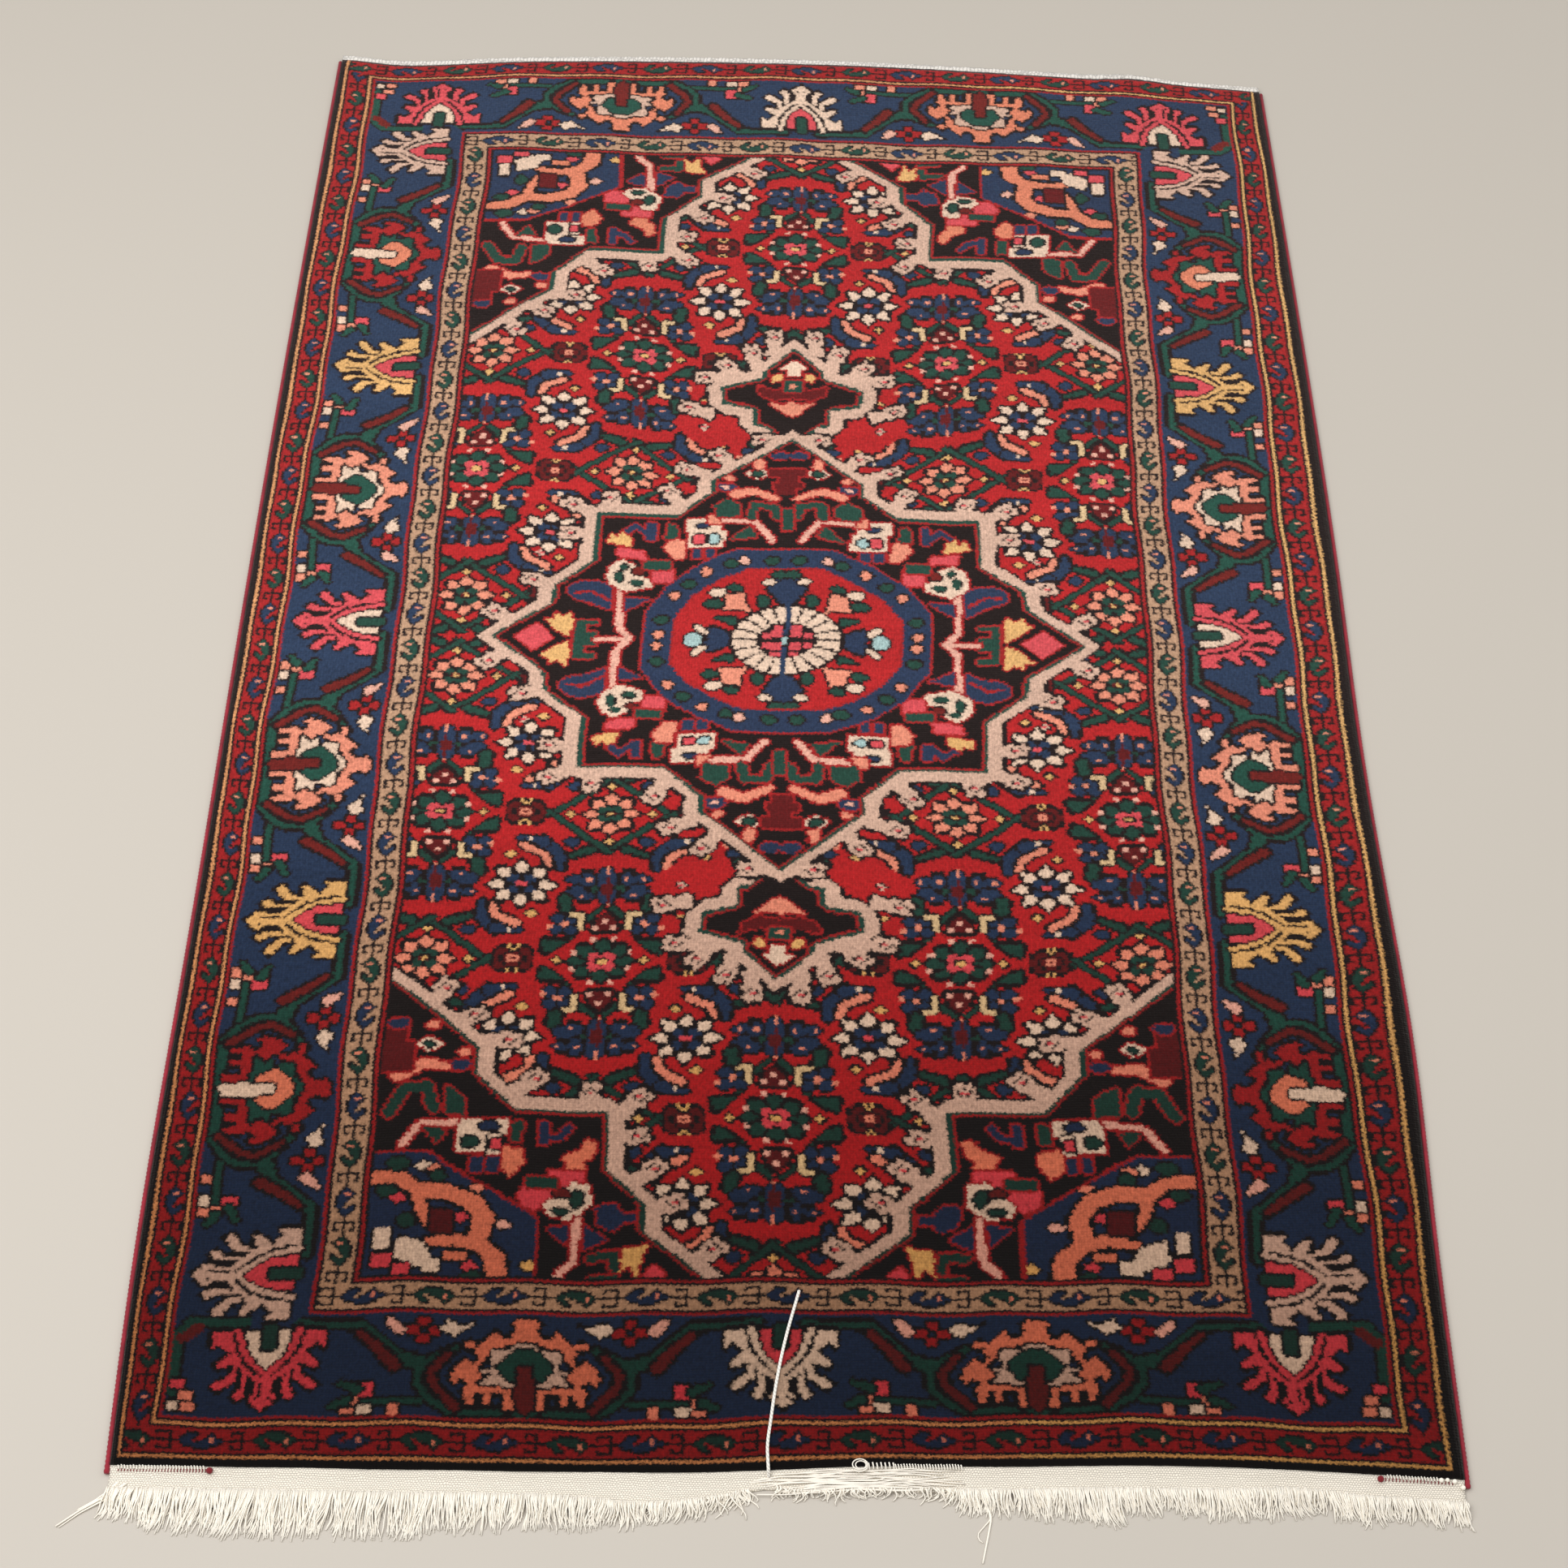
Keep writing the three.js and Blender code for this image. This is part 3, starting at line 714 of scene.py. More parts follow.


# guards: leaf drops between hooked bars, charted
guardChart = [
    "....kkkkk.....kkkk.",
    "..kkbbbbbkk...k..k.",
    ".kbbbbbbbbbk.....k.",
    "kbbb.kbbbpbbkkkkkkk",
    ".kbbk..kbpbk.....k.",
    "..kbbk..kbk...k..k.",
    "...kkk...k....kkkk.",
]


def guard(p, along, out, width, pitch, ground):
    # out runs from 0 to width across the guard; drops alternate in dye and in the side they open to
    p.cells[p.open] = dye[ground]
    letters = np.array([list(line) for line in guardChart])
    high, wide = letters.shape
    repeat = np.floor(along / pitch)
    blue = repeat % 2 == 0
    column = np.clip(np.floor((along / pitch - repeat) * wide), 0, wide - 1).astype(int)
    row = np.floor(out - (width - high) / 2).astype(int)
    inside = p.open & (row >= 0) & (row < high)
    row = np.clip(np.where(blue, high - 1 - row, row), 0, high - 1)
    found = letters[row, column]
    for name, mask in [("dark", found == "k"), ("navy", (found == "b") & blue), ("green", (found == "b") & ~blue),
                       ("salmon", found == "p")]:
        p.cells[inside & mask] = dye[name]


def drawQuarter():
    fine = chart["fine"]
    columns, rows = (count * fine for count in chart["half"])
    x, y = np.meshgrid((np.arange(columns) + 0.5) / fine, (np.arange(rows) + 0.5) / fine)
    p = Patch(x, y, np.full(x.shape, dye["black"], np.uint8), np.ones(x.shape, bool))
    fx, fy = chart["field"]
    gx, gy = chart["innerGuard"]

    def rings(table):
        # thin lines round the rug: outer edge of each and its dye
        for wx, wy, name in table:
            p.cells[(x < wx) & (y < wy)] = dye[name]
    rings([(197, 357, "amber"), (196, 356, "dark"), (195, 355, "brick"), (187, 346, "dark"), (186, 345, "amber"),
           (185, 344, "dark"), (184, 343, "brick")])
    mainBorder(p)
    rings([(gx, gy, "brick"), (gx - 1, gy - 1, "dark"), (gx - 2, gy - 2, "camel")])
    rings([(fx + 3, fy + 3, "dark"), (fx + 2, fy + 2, "brick"), (fx + 1, fy + 1, "dark")])
    field = p.only((x < fx) & (y < fy))
    fieldLattice(field)
    field.ink(field.disc(28, 125.5, 16, 13), "red", None)     # plain red beside the crossing
    cornerFigures(steppedPiece(field, cornerOutline + [(140, 300)]))
    pendantFigures(steppedPiece(field, pendantOutline + [(-12, 168.5), (-12, 113)]))
    medallion = steppedPiece(field, medallionOutline + [(-12, 118), (-12, -12), (108, -12)])
    medallionFigures(medallion)
    centreRing(medallion)
    headEyes(field)
    return p.cells


weave = {
    "knots": (400, 720),            # across and along the whole rug
    "middle": (-1.5, -8.0),         # where the weaver's middle of the field fell
    "lean": 0.006,                  # sideways drift of the field's axis
    "wander": 1.5,                  # mm that the rows and columns of knots sway by
    "driftX": (-7.4, 4.7, 5.5),     # mm the design lies off its cloth: middle, more to the right, more to the back
    "driftY": (22.5, 6.4, 12.4),
}


def weaveChart():
    # dye number of every knot of the rug, row 0 at the fringed front
    cells = drawQuarter()
    fine = chart["fine"]
    wide, high = weave["knots"]
    column, row = np.meshgrid(np.arange(wide) - wide / 2 + 0.5, np.arange(high) - high / 2 + 0.5)
    fx, fy = chart["field"]
    axis = weave["middle"][0] + weave["lean"] * row
    centre = weave["middle"][1]
    fieldX = np.where(column > axis, (column - axis) / (fx - axis), (axis - column) / (fx + axis)) * fx
    fieldY = np.where(row > centre, (row - centre) / (fy - centre), (centre - row) / (fy + centre)) * fy
    short = np.interp(fieldY, [70, 110, 162, 200], [0, 8, 4.5, 0]) * np.clip((62 - fieldX) / 28, 0, 1)
    fieldY = fieldY + np.where(row > centre, short, 0)      # the pendant at the back sits closer in
    field = (abs(column) < fx) & (abs(row) < fy)
    back = row - 3.6 * np.clip((row - 305) / 40, 0, 1)     # no black band at the back end
    across = np.where(field, fieldX, abs(column))
    along = np.where(field, fieldY, abs(back))
    cellX = np.clip((across * fine).astype(int), 0, cells.shape[1] - 1)
    cellY = np.clip((along * fine).astype(int), 0, cells.shape[0] - 1)
    rug = Patch(column, back, cells[cellY, cellX], np.ones(column.shape, bool))
    # the guards run on without a mirror, to the right at the ends and to the back at the sides
    gx, gy = chart["innerGuard"]
    for inner, outer, ground in (((187, 346), (195, 355), "brick"), ((fx + 3, fy + 3), (gx - 2, gy - 2), "camel")):
        whole = rug.only((abs(column) < outer[0]) & (abs(back) < outer[1]))
        ends = whole.only(abs(back) >= inner[1])
        guard(ends, column + 6, abs(back) - inner[1], outer[1] - inner[1], 21.5, ground)
        sides = whole.only((abs(back) < inner[1]) & (abs(column) >= inner[0]))
        guard(sides, back + 3, abs(column) - inner[0], outer[0] - inner[0], 19, ground)
    rug.cells[(rug.cells == dye["amber"]) & (column > 70)] = dye["gold"]    # yellower wool to the right
    return rug.cells


knots = weaveChart()
print("chart", knots.shape)


# woven edges, as in the part
def swell(rows, x):
    return sum(rise * np.exp(-((x - middle) / spread) ** 2) for middle, rise, spread in rows)


def leftX(along):
    return -(654 + 9 * np.sin(np.pi * along) + swell([(0.11, 7.5, 0.15)], along))


def rightX(along):
    return 654 + 9 * np.sin(np.pi * along) + swell([(0, 3, 0.12), (0.23, 7, 0.1), (0.44, -4, 0.1)], along)


def frontY(x):
    return -1029 + swell([(380, 16, 300), (70, 5, 110)], x)


def backY(x):
    bow = 1025 - 8 * x / 654 + 30 * np.cos(np.pi * x / 1308)
    return bow + swell([(-654, 12, 60), (-560, -7, 110), (470, 7, 46)], x)


def webEdgeY(x):
    return frontY(x) - 25 - swell([(-140, 7, 60), (-25, -7, 30), (490, -4, 50)], x)


def fringeLength(x):
    return 26 + swell([(-470, 16, 180), (-110, -8, 60), (60, -17, 120), (293, 6, 30), (357, -6, 30), (521, -4, 25),
                       (-660, -8, 36), (650, -7, 90)], x)


frontLeft, frontRight = leftX(0), rightX(0)
backLeft, backRight = leftX(1), rightX(1)


def pilePlace(a, b):
    # place of the share a across and b along; the edges' waves fade out into the pile
    x = (frontLeft + (frontRight - frontLeft) * a) * (1 - b) + (backLeft + (backRight - backLeft) * a) * b
    front = frontY(frontLeft) + (frontY(frontRight) - frontY(frontLeft)) * a
    back = backY(backLeft) + (backY(backRight) - backY(backLeft)) * a
    y = front * (1 - b) + back * b
    nearLeft, nearRight = (np.clip(1 - t / 0.035, 0, 1) for t in (a, 1 - a))
    nearFront, nearBack = (np.clip(1 - t / 0.10, 0, 1) for t in (b, 1 - b))
    x = x + nearLeft * (leftX(b) - (frontLeft + (backLeft - frontLeft) * b))
    x = x + nearRight * (rightX(b) - (frontRight + (backRight - frontRight) * b))
    y = y + nearFront * (frontY(frontLeft + (frontRight - frontLeft) * a) - front)
    y = y + nearBack * (backY(backLeft + (backRight - backLeft) * a) - back)
    s, t = 2 * a - 1, 2 * b - 1
    middle, toRight, toBack = weave["driftX"]
    x = x + (middle * (1 - t * t) + toRight * s + toBack * t) * np.clip((1 - abs(s)) / 0.08, 0, 1)
    middle, toRight, toBack = weave["driftY"]
    y = y + (middle + toRight * s + toBack * t - 4.3 * s * s - 5.5 * s * t) * (1 - t ** 4)
    # knots sway a little, less at the edges
    sway = weave["wander"] * np.clip(np.minimum(1 - abs(s), 1 - abs(t)) / 0.03, 0, 1)
    return (x + sway * (np.sin(y / 61 + 1) + 0.7 * np.sin(y / 23 + x / 310)),
            y + sway * (np.sin(x / 57 + 2) + 0.7 * np.sin(x / 19 + y / 270)))


def slab(name, across, along, place, top, bottom=0.2, drop=1.4):
    # closed sheet: grid on top with its place in shares, edge rounded down to a plain underside
    bm = bmesh.new()
    bmesh.ops.create_grid(bm, x_segments=across, y_segments=along, size=1)
    share = bm.verts.layers.float_vector.new("share")
    for v in bm.verts:
        v[share] = ((v.co.x + 1) / 2, (v.co.y + 1) / 2, 0)
    shares = np.array([v[share][:2] for v in bm.verts])
    x, y = place(shares[:, 0], shares[:, 1])
    z = top(x, y)
    rim = np.isclose(shares, 0).any(axis=1) | np.isclose(shares, 1).any(axis=1)
    for v, vx, vy, vz, outer in zip(bm.verts, x, y, z, rim):
        v.co = at(vx, vy, vz - drop if outer else vz)
    loop = [e for e in bm.edges if e.is_boundary]
    for height in ((z.min() - drop) * 0.55, bottom):
        made = bmesh.ops.extrude_edge_only(bm, edges=loop)["geom"]
        for v in made:
            if isinstance(v, bmesh.types.BMVert):
                v.co.z = height / 1000
        loop = [e for e in made if isinstance(e, bmesh.types.BMEdge) and e.is_boundary]
    bmesh.ops.holes_fill(bm, edges=loop, sides=0)
    bmesh.ops.recalc_face_normals(bm, faces=bm.faces)
    uv = bm.loops.layers.uv.new("OFBake")
    for face in bm.faces:
        face.smooth = True
        for corner in face.loops:
            corner[uv].uv = corner.vert[share][:2]
    return toMesh(bm, name)


# pile
pile = {"top": 8.9, "tuft": 0.0011, "sheen": 0.16, "fray": 1.9, "fuzz": 0.8, "nearShadeGamma": 1.35, "nearShadeLevel": 0.5}


def pileMaterial():
    mat, tree, shader = newMaterial("wool pile")
    count = len(dyes)
    uv = addNode(tree, "ShaderNodeUVMap", {"uv_map": "OFBake"}).outputs[0]
    parts = addNode(tree, "ShaderNodeSeparateXYZ", None, {0: uv})
    across = maths(tree, "MULTIPLY", parts.outputs[0], float(weave["knots"][0]))
    along = maths(tree, "MULTIPLY", parts.outputs[1], float(weave["knots"][1]))
    place = addNode(tree, "ShaderNodeCombineXYZ", None, {0: across, 1: along}).outputs[0]
    # each face holds its four knots and the next ones: pick one by where the point lies, edges frayed
    picks = []
    fine = addNode(tree, "ShaderNodeVectorMath", {"operation": "SCALE"}, {0: place, "Scale": 19.0})
    fine = addNode(tree, "ShaderNodeVectorMath", {"operation": "FLOOR"}, {0: fine.outputs[0]})
    hairs = addNode(tree, "ShaderNodeTexWhiteNoise", {"noise_dimensions": "2D"}, {"Vector": fine.outputs[0]})
    hairs = addNode(tree, "ShaderNodeSeparateColor", None, {0: hairs.outputs["Color"]}).outputs
    for t, seed, hair in ((across, 0.0, hairs[0]), (along, 7.7, hairs[1])):
        moved = addNode(tree, "ShaderNodeVectorMath", {"operation": "ADD"}, {0: place, 1: (seed, seed, seed)})
        fray = addNode(tree, "ShaderNodeTexNoise", None, {"Vector": moved.outputs[0], "Scale": 0.9, "Detail": 1.0})
        local = maths(tree, "MULTIPLY", maths(tree, "FRACT", maths(tree, "MULTIPLY", t, 0.5)), 2.0)
        local = maths(tree, "ADD", local, 0.5 - pile["fray"] / 2 - pile["fuzz"] / 2)
        local = maths(tree, "MULTIPLY_ADD", fray.outputs["Fac"], pile["fray"], local)
        local = maths(tree, "MULTIPLY_ADD", hair, pile["fuzz"], local)
        picks.append([maths(tree, "GREATER_THAN", local, 1.0), maths(tree, "GREATER_THAN", local, 2.0)])
    rows = []
    for name in ("dyesNear", "dyesMid", "dyesFar"):
        held = addNode(tree, "ShaderNodeAttribute", {"attribute_name": name})
        three = addNode(tree, "ShaderNodeSeparateColor", None, {0: held.outputs["Color"]}).outputs
        rows.append(mixValue(tree, picks[0][1], mixValue(tree, picks[0][0], three[0], three[1]), three[2]))
    number = mixValue(tree, picks[1][1], mixValue(tree, picks[1][0], rows[0], rows[1]), rows[2])
    ramp = addNode(tree, "ShaderNodeValToRGB", None, {0: number})
    ramp.color_ramp.interpolation = "CONSTANT"
    stops = ramp.color_ramp.elements
    for index, colour in enumerate(dyes.values()):
        stop = stops[index] if index < 2 else stops.new(index / count)
        stop.position = index / count
        stop.color = linear(*colour)
    # uneven dye lots run across the rug, and every knot takes the dye a little differently
    lots = addNode(tree, "ShaderNodeMapping", None, {"Vector": place, "Scale": (0.004, 0.05, 1)})
    lot = addNode(tree, "ShaderNodeTexNoise", None, {"Vector": lots.outputs[0], "Scale": 1.0, "Detail": 3.0})
    cell = addNode(tree, "ShaderNodeVectorMath", {"operation": "FLOOR"}, {0: place})
    knot = addNode(tree, "ShaderNodeTexWhiteNoise", {"noise_dimensions": "2D"}, {"Vector": cell.outputs[0]})
    level = maths(tree, "MULTIPLY_ADD", lot.outputs["Fac"], 0.5, 0.72)
    level = maths(tree, "MULTIPLY_ADD", knot.outputs["Value"], 0.16, level)
    strewn = addNode(tree, "ShaderNodeMapping", None, {"Vector": place, "Scale": (1.0, 0.55, 1)})
    fibre = addNode(tree, "ShaderNodeTexNoise", None, {"Vector": strewn.outputs[0], "Scale": 1.0, "Detail": 5.0,
                                                       "Roughness": 0.65}).outputs["Fac"]
    level = maths(tree, "MULTIPLY_ADD", fibre, 1.6, maths(tree, "ADD", level, -0.92))
    tuft = grains(tree, across, along)
    # painted shade: the colour is darker between the rounded tufts and lighter on their tops
    level = maths(tree, "MULTIPLY_ADD", tuft, 0.12, level)
    # painted shade: the pile is darkened and its colours deepened towards the fringed end, fading out by the middle
    # of the rug
    pale = addNode(tree, "ShaderNodeMapRange", {"interpolation_type": "SMOOTHSTEP"},
                   {"Value": parts.outputs[1], 2: 0.5})
    # painted shade: depth is the gamma that deepens the colours, the level below darkens them
    depth = mixValue(tree, pale.outputs[0], pile["nearShadeGamma"], 1.0)
    level = maths(tree, "MULTIPLY", level, mixValue(tree, pale.outputs[0], pile["nearShadeLevel"], 1.0))
    nearShadedDye = addNode(tree, "ShaderNodeGamma", None, {"Color": ramp.outputs[0], "Gamma": depth})
    shade = addNode(tree, "ShaderNodeHueSaturation", None, {"Color": nearShadedDye.outputs[0], "Value": level})
    tree.links.new(shade.outputs[0], shader.inputs["Base Color"])
    # rounded tufts with wool fibres
    height = maths(tree, "MULTIPLY_ADD", fibre, 2.0, maths(tree, "MULTIPLY", tuft, 0.6))
    height = maths(tree, "MULTIPLY_ADD", knot.outputs["Value"], 0.35, height)
    bump = addNode(tree, "ShaderNodeBump", None, {"Height": height, "Strength": 0.6, "Distance": pile["tuft"]})
    tree.links.new(bump.outputs[0], shader.inputs["Normal"])
    shader.inputs["Roughness"].default_value = 0.95
    shader.inputs["Specular IOR Level"].default_value = 0.15
    shader.inputs["Sheen Weight"].default_value = pile["sheen"]
    shader.inputs["Sheen Roughness"].default_value = 0.4
    shader.inputs["Sheen Tint"].default_value = (1.0, 0.86, 0.8, 1)
    return mat


def pileTop(x, y):
    rng = np.random.default_rng(11)
    swells = 0.35 * np.sin(x / 71 + 1.1 * np.sin(y / 160)) + 0.35 * np.sin(y / 57 + 1.3 * np.sin(x / 130))
    return pile["top"] + 0.6 * swells + rng.uniform(-0.35, 0.35, len(x))


knotsWide, knotsLong = weave["knots"]
pileMesh = slab("pile", knotsWide // 2, knotsLong // 2, pilePlace, pileTop)     # four knots to a face
places = np.empty(len(pileMesh.loops) * 2)
pileMesh.uv_layers["OFBake"].data.foreach_get("uv", places)
places = places.reshape(-1, 2)
starts = np.empty(len(pileMesh.polygons), int)
sizes = np.empty(len(pileMesh.polygons), int)
normals = np.empty(len(pileMesh.polygons) * 3)
pileMesh.polygons.foreach_get("loop_start", starts)
pileMesh.polygons.foreach_get("loop_total", sizes)
pileMesh.polygons.foreach_get("normal", normals)
onTop = (normals.reshape(-1, 3)[:, 2] > 0.3) & (sizes == 4)
middles = places[starts[:, None] + np.arange(4)[None, :] % np.minimum(sizes, 4)[:, None]].mean(axis=1)
column = np.clip((middles[:, 0] * knotsWide / 2).astype(int), 0, knotsWide // 2 - 1) * 2
row = np.clip((middles[:, 1] * knotsLong / 2).astype(int), 0, knotsLong // 2 - 1) * 2
for step, name in enumerate(("dyesNear", "dyesMid", "dyesFar")):
    line = np.minimum(row + step, knotsLong - 1)
    three = np.stack([knots[line, np.minimum(column + side, knotsWide - 1)] for side in (0, 1, 2, 2)], axis=1)
    three[~onTop] = dye["black"]
    attribute = pileMesh.attributes.new(name, "FLOAT_COLOR", "FACE")
    attribute.data.foreach_set("color", ((three + 0.5) / len(dyes)).astype(np.float32).ravel())
pilePiece = addPiece("knotted_pile", pileMesh, pileMaterial(), ["rug_body"])
print("pile", len(pileMesh.polygons))


# threads: tapering tubes in one mesh, each a folded grid
def addThread(bm, route, radius, tip=None, rings=6, sides=4, ridge=0.0):
    # route gives a point in mm for a share of its length from 0 to 1
    tip = radius if tip is None else tip
    made = bmesh.ops.create_grid(bm, x_segments=rings, y_segments=sides, size=1)["verts"]
    centres = [Vector(route(ring / rings)) for ring in range(rings + 1)]
    for v in made:
        ring = round((v.co.x + 1) / 2 * rings)
        ahead = (centres[min(ring + 1, rings)] - centres[max(ring - 1, 0)]).normalized()
        upright = Vector((0, 0, 1)) if abs(ahead.z) < 0.8 else Vector((0, 1, 0))
        upright = (upright - ahead * upright.dot(ahead)).normalized()
        sideways = upright.cross(ahead)
        turn = math.pi * (v.co.y + 1) + math.pi / sides
        size = (radius + (tip - radius) * ring / rings) * (1 + ridge * (ring % 2 * 2 - 1))
        v.co = at(*(centres[ring] + size * (math.cos(turn) * upright + math.sin(turn) * sideways)))


def finishMesh(bm, name):
    # seams are welded and the open ends closed
    bmesh.ops.remove_doubles(bm, verts=bm.verts, dist=1e-7)
    bmesh.ops.holes_fill(bm, edges=[e for e in bm.edges if e.is_boundary], sides=8)
    for face in bm.faces:
        face.smooth = True
    return toMesh(bm, name)


def throughPoints(points):
    # even way along straight stretches between points
    places = [Vector(p) for p in points]
    steps = [0.0]
    for first, second in zip(places, places[1:]):
        steps.append(steps[-1] + (second - first).length)

    def route(t):
        wanted = t * steps[-1]
        for number in range(len(places) - 1):
            if wanted <= steps[number + 1] or number == len(places) - 2:
                span = steps[number + 1] - steps[number]
                return places[number].lerp(places[number + 1], (wanted - steps[number]) / span)
    return route


# overcast side cords: red wool wound round the edge
sideCord = {"across": 6.0, "gap": 0.3, "turns": 430, "ridge": 0.13, "colour": (172, 34, 54)}


def woolMaterial(name, colour):
    mat, tree, shader = newMaterial(name)
    place = addNode(tree, "ShaderNodeTexCoord").outputs["Object"]
    tone = addNode(tree, "ShaderNodeTexNoise", None, {"Vector": place, "Scale": 60.0, "Detail": 4.0})
    fuzz = addNode(tree, "ShaderNodeTexNoise", None, {"Vector": place, "Scale": 1100.0, "Detail": 2.0})
    shade = mixColour(tree, tone.outputs["Fac"], linear(*colour), linear(*[v * 0.55 for v in colour]))
    relief = {"Height": fuzz.outputs["Fac"], "Strength": 0.6, "Distance": 0.0006}
    bump = addNode(tree, "ShaderNodeBump", None, relief)
    tree.links.new(shade, shader.inputs["Base Color"])
    tree.links.new(bump.outputs[0], shader.inputs["Normal"])
    shader.inputs["Roughness"].default_value = 0.95
    shader.inputs["Sheen Weight"].default_value = 0.2
    return mat


redWool = woolMaterial("red wool", sideCord["colour"])
for name, edge, outward in (("overcast_left", leftX, -1), ("overcast_right", rightX, 1)):
    corner, far = frontY(edge(0)), backY(edge(1))
    reach = sideCord["across"] / 2

    def cordRoute(t):
        y = corner - 8 + (far - corner + 8) * t
        b = max(0.0, (y - corner) / (far - corner))
        return edge(b) + outward * (sideCord["gap"] + reach * 0.9), y, reach
    bm = bmesh.new()
    addThread(bm, cordRoute, reach * 0.92, rings=sideCord["turns"] * 2, sides=8, ridge=sideCord["ridge"])
    addPiece(name, finishMesh(bm, name), redWool, ["selvedge_" + name.split("_")[1]])
print("side cords")

# front end web, its fringe and stray locks
endWeb = {"faces": (330, 8), "bottom": 0.3, "drop": 0.7, "colour": (255, 246, 230), "grain": (2.8, 2.0)}
fringe = {
    "threads": 2500, "thick": 0.95, "tip": 0.6, "clump": 13.0, "colour": (253, 246, 233),
    "worn": (-82, 162),             # shorter and untidy between these
    "bare": (-40, -14),             # no fringe left, then a thin stretch to thinTo
    "thinTo": 150, "lost": 0.7,
}
webCotton = cottonMaterial("woven cotton", endWeb["colour"], endWeb["grain"])
fringeCotton = cottonMaterial("fringe cotton", fringe["colour"])


def webPlace(a, b):
    x = frontLeft + (frontRight - frontLeft) * a
    inner = frontY(x) - 0.3
    return x, webEdgeY(x) + (inner - webEdgeY(x)) * b


def webRise(x, y):
    # the web climbs to the pile
    return 2.5 + 3.8 * np.clip(1 - (frontY(x) - y) / 10, 0, 1)


def webTop(x, y):
    rng = np.random.default_rng(5)
    return webRise(x, y) + 0.5 * np.sin(x / 23) * np.sin(y / 9) + rng.uniform(-0.2, 0.2, len(x))


webMesh = slab("end web", *endWeb["faces"], webPlace, webTop, endWeb["bottom"], endWeb["drop"])
webPiece = addPiece("end_web", webMesh, webCotton)

rng = np.random.default_rng(21)
tufts = rng.uniform(-1, 1, (140, 4))                    # lean, gather, length and bend of each clump
bareFrom, bareTo = fringe["bare"]
bm = bmesh.new()
for number in range(fringe["threads"]):
    x = frontLeft + (frontRight - frontLeft) * (number + rng.uniform(0, 1)) / fringe["threads"]
    worn = fringe["worn"][0] < x < fringe["worn"][1]
    if bareFrom < x < bareTo or (bareTo <= x < fringe["thinTo"] and rng.uniform() < fringe["lost"]):
        continue
    clump = math.floor((x + 2.5 * math.sin(x / 9) - frontLeft) / fringe["clump"])
    leaning, gathering, longer, bend = tufts[clump]
    length = max(5.0, fringeLength(x) + rng.uniform(-6, 3) + 4 * longer - (rng.uniform(0, 12) if worn else 0))
    length *= rng.choice([1.0, 1.0, 1.0, 0.82, 0.66])
    lean = 0.12 * math.tanh(x / 260) - 0.3 * math.exp(-((x + 655) / 30) ** 2) + 0.16 * leaning
    lean += rng.uniform(-0.2, 0.2)
    lean += rng.uniform(-1.1, 1.1) if worn else 0
    middle = frontLeft + (clump + 0.5) * fringe["clump"]
    gather = (middle - x) * (0.15 + 0.3 * gathering) * rng.uniform(0.3, 1)
    curl, phase = rng.uniform(1.2, 3.4) * (1.5 if worn else 1), 3 * bend + rng.uniform(-1.1, 1.1)
    lift = rng.uniform(0.0, 5.5)
    root = webEdgeY(x) + rng.uniform(1.5, 4)

    def strand(t):
        sway = curl * math.sin(phase + 5 * t) * t
        z = 2.6 * (1 - t) ** 2 + lift * math.sin(math.pi * min(1, 0.12 + t)) + 0.7
        return x + (lean * length + gather) * t ** 1.3 + sway, root - (length + 3) * t, max(0.9, z)
    addThread(bm, strand, fringe["thick"] * rng.uniform(0.8, 1.2), fringe["tip"], rings=5)
# stray locks: two threads at the corner, a long one that parts near the middle
locks = [
    ([(-640, -1046, 3), (-660, -1060, 2.4), (-681, -1073, 1.8), (-702, -1089, 1.2)], 1.5, 0.7),
    ([(-636, -1050, 2), (-660, -1063, 2), (-681, -1075.5, 1.4), (-699, -1090, 1)], 1.3, 0.5),
    ([(-648, -1044, 2), (-657, -1054, 2.4), (-668, -1063, 1.8), (-684, -1073, 1.6)], 1.2, 0.6),
    ([(181, -1042, 3), (189, -1054, 2.4), (194, -1066, 1.2), (190, -1085, 1), (187, -1098, 1), (184, -1111, 1)],
     1.2, 0.8),
    ([(184, -1046, 2), (191, -1058, 1.6), (193, -1068, 1.2), (184, -1078, 1), (180, -1083, 1), (181, -1088, 1),
      (185, -1091, 1)], 0.9, 0.5),
]
for points, thick, tip in locks:
    addThread(bm, throughPoints(points), thick, tip, rings=14, sides=6)
fringePiece = addPiece("end_fringe", finishMesh(bm, "end fringe"), fringeCotton,
                       ["kilim_fringe_front"])
print("fringe")

# overcast edge, and the worn part of the end: loose wefts, a snarl and long bare loops
looseWefts = {"count": 22, "step": 0.95, "colour": (250, 243, 231)}
bm = bmesh.new()
for number in range(looseWefts["count"]):
    start, stop = rng.uniform(-42, 16), rng.uniform(108, 172)
    depth, sag = 4 + looseWefts["step"] * number, rng.uniform(-2.5, 2.5)
    stops = ((start, -0.6, 0), (start + 26, 0.8, 1.2), (72 + sag * 5, -1, 1.6 + 0.1 * sag), (stop - 30, 0.6, 1.2),
             (stop, -1, 0))
    points = [(x, frontY(x) - depth + bend * sag, 0.7 + rise + webRise(x, frontY(x) - depth))
              for x, bend, rise in stops]
    addThread(bm, throughPoints(points), 0.72, 0.6, rings=14, sides=5)
for first, last, count, high in ((-650, -568, 29, -0.5), (76, 100, 7, 1.0), (102, 166, 24, 0.3),
                                 (582, 630, 17, -0.5)):
    for number in range(count):
        x = first + (last - first) * number / (count - 1)
        edge = frontY(x) + rng.uniform(-0.4, 0.4)
        loop = [(x - 0.7, edge + 0.2 + 1.8 * high, 8.2 + 1.4 * high), (x, edge - 0.9, 7.6 + 1.4 * high),
                (x + 0.7, edge - 4, 6.2)]
        addThread(bm, throughPoints(loop), 0.75 + 0.15 * high, rings=4)


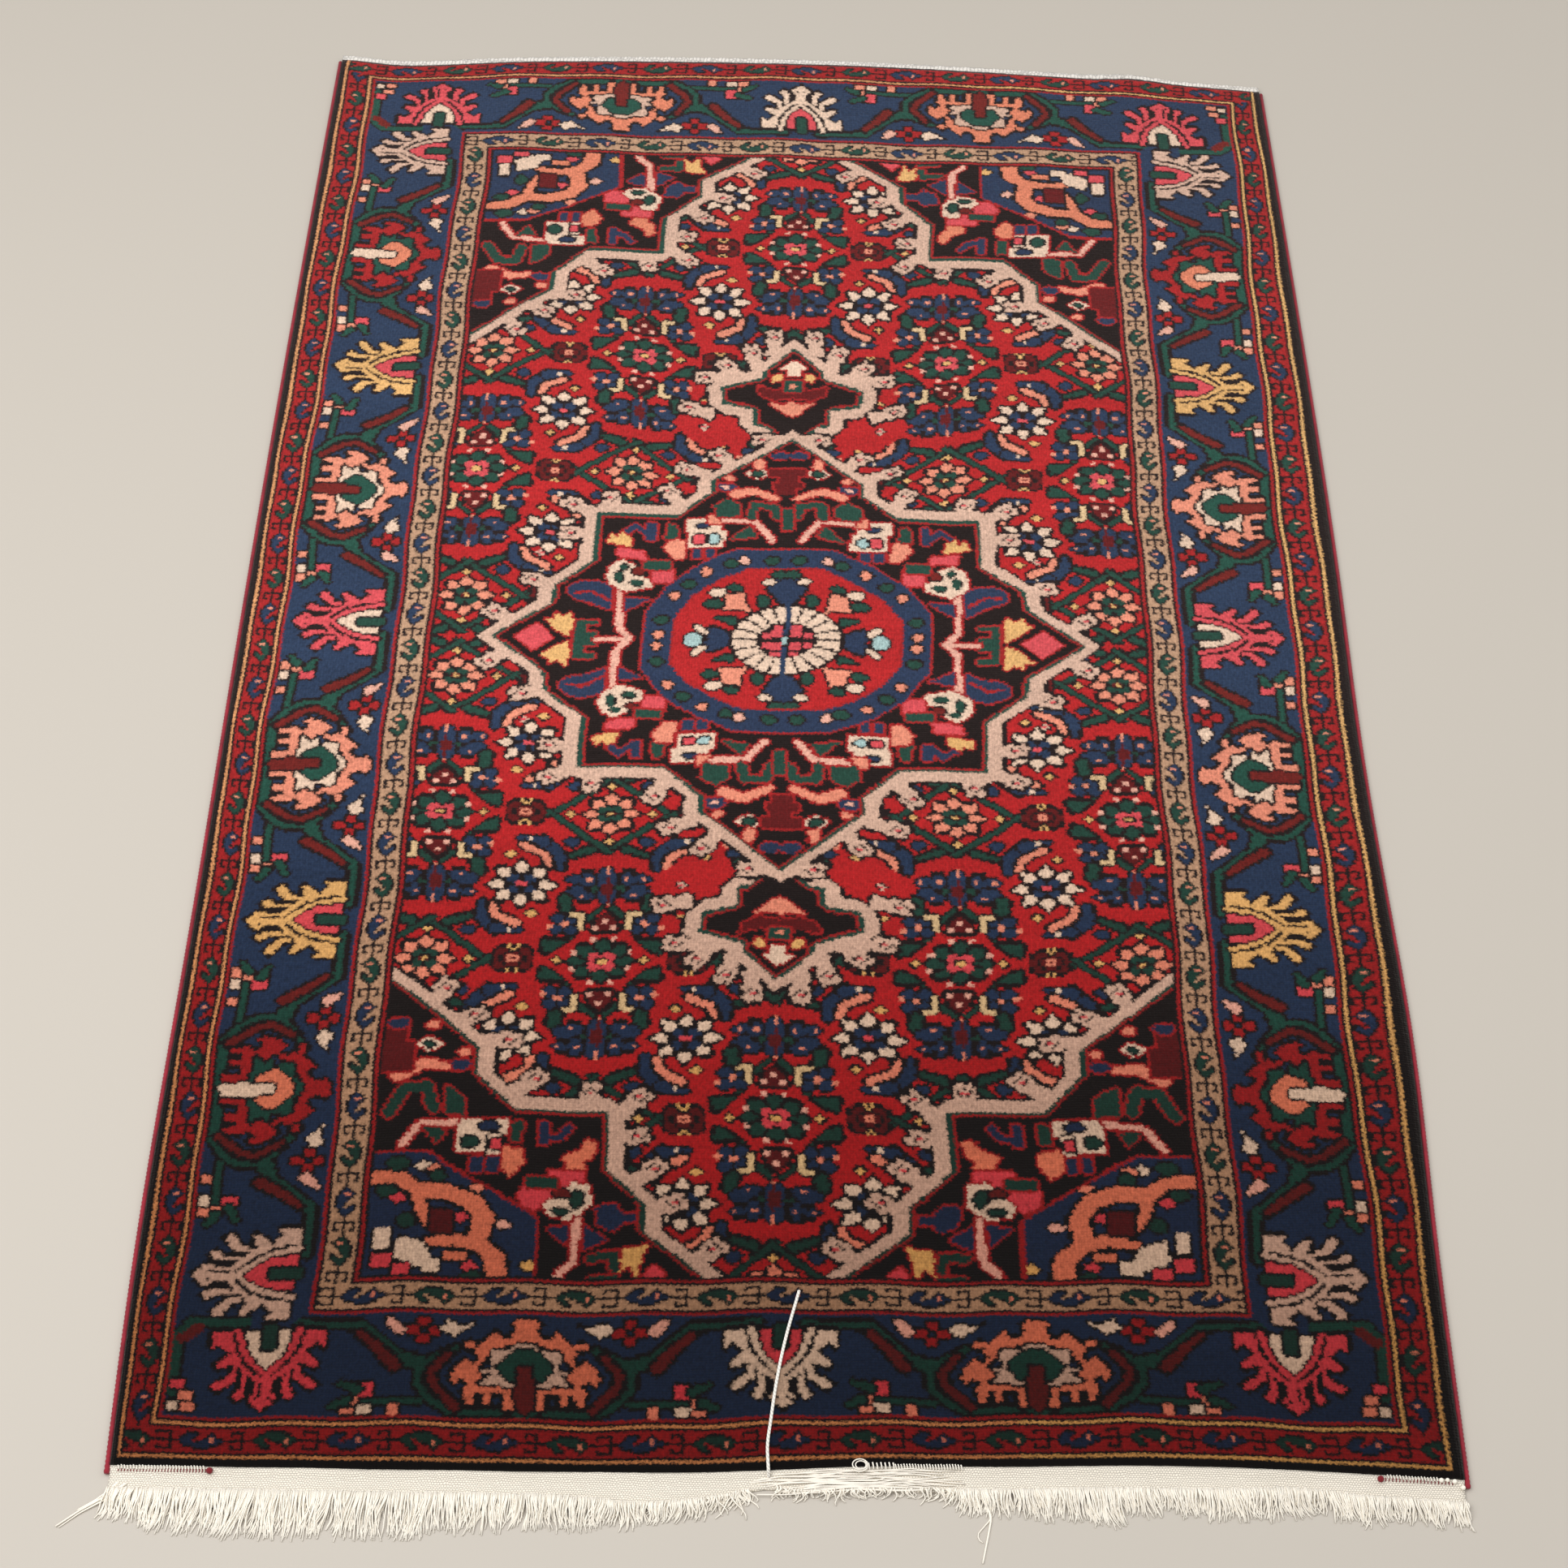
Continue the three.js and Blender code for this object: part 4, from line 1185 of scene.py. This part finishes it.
def coil(t):
    # snarl of thread on the edge
    turn = 2 * math.pi * 2.6 * t - 2.2
    size = 8.4 - 4.2 * t + 0.8 * math.sin(9 * t)
    return 66 + size * math.cos(turn) + 3 * t, frontY(66) - 0.5 + size * 0.75 * math.sin(turn), 10.2 + 1.6 * t


addThread(bm, coil, 0.7, 0.55, rings=48, sides=5)
addPiece("loose_wefts", finishMesh(bm, "loose wefts"),
         cottonMaterial("loose cotton", looseWefts["colour"]))

# corner stitches in red wool, with a knot at the inner end
stitches = {"thick": 0.55, "half": 1.7, "in": 4.4, "knot": 0.0034, "colour": (150, 20, 34)}
bm = bmesh.new()
for first, last, count, knot in ((-650, -566, 29, -562), (580, 645, 20, 575)):
    for number in range(count):
        x = first + (last - first) * number / (count - 1)
        edge, thick = frontY(x) - stitches["in"], stitches["thick"]
        ends = [(x + side * 0.2, y, webRise(x, y) + thick)
                for side, y in ((-1, edge - stitches["half"]), (1, edge + stitches["half"]))]
        addThread(bm, throughPoints(ends), thick, rings=2)
    bmesh.ops.create_icosphere(bm, subdivisions=2, radius=stitches["knot"], matrix=Matrix.Translation(
        at(knot, frontY(knot) - 4.5, 6.0)))
addPiece("corner_stitches", finishMesh(bm, "corner stitches"),
         woolMaterial("stitch wool", stitches["colour"]))
bm = bmesh.new()
for x, out, size in ((634, 2.5, 2.4), (640, 2.0, 2.1), (647, 3.0, 2.5), (655, 8.0, 2.4)):
    bmesh.ops.create_icosphere(bm, subdivisions=2, radius=size / 1000, matrix=Matrix.Translation(
        at(x, frontY(x) - out, webRise(x, frontY(x) - out) + 1.4)))
addPiece("corner_knots", finishMesh(bm, "corner knots"), fringeCotton)

# back end web: narrow turned strip
backWeb = {"depth": 10, "top": 7.8, "faces": (420, 3), "drop": 0.9, "colour": (238, 232, 224), "grain": (5.2, 11.0)}


def backPlace(a, b):
    x = backLeft + (backRight - backLeft) * a
    return x, backY(x) + 0.3 + (backWeb["depth"] - 0.3) * b


def backTop(x, y):
    return backWeb["top"] + 0.5 * np.sin(x / 3.1)


backMesh = slab("back web", *backWeb["faces"], backPlace, backTop, drop=backWeb["drop"])
backPiece = addPiece("back_web", backMesh,
                     cottonMaterial("turned cotton", backWeb["colour"], backWeb["grain"]), ["kilim_back"])
print("end webs")

# floor and soft light
floorMat, _, floorShader = newMaterial("floor")
floorShader.inputs["Base Color"].default_value = linear(188, 181, 171)
floorShader.inputs["Roughness"].default_value = 0.6
bm = bmesh.new()
bmesh.ops.create_grid(bm, x_segments=1, y_segments=1, size=9)
floor = addObject("floor", toMesh(bm, "floor"))
floor.data.materials.append(floorMat)
world = bpy.data.worlds.new("studio")
scene.world = world
world.use_nodes = True
world.node_tree.nodes["Background"].inputs[0].default_value = (1.0, 0.985, 0.96, 1)
world.node_tree.nodes["Background"].inputs[1].default_value = 0.55
for name, place, aim, size, power in [("left soft", (-1.7, -0.5, 3.3), (-0.2, -0.1, 0), 3.4, 115),
                                      ("right soft", (2.4, 0.4, 3.2), (0.3, 0.1, 0), 3.0, 40)]:
    lampData = bpy.data.lights.new(name, "AREA")
    lampData.size = size
    lampData.energy = power
    lamp = addObject(name, lampData)
    lamp.location = place
    lamp.rotation_euler = (Vector(aim) - Vector(place)).to_track_quat("-Z", "Y").to_euler()
print("floor and light")
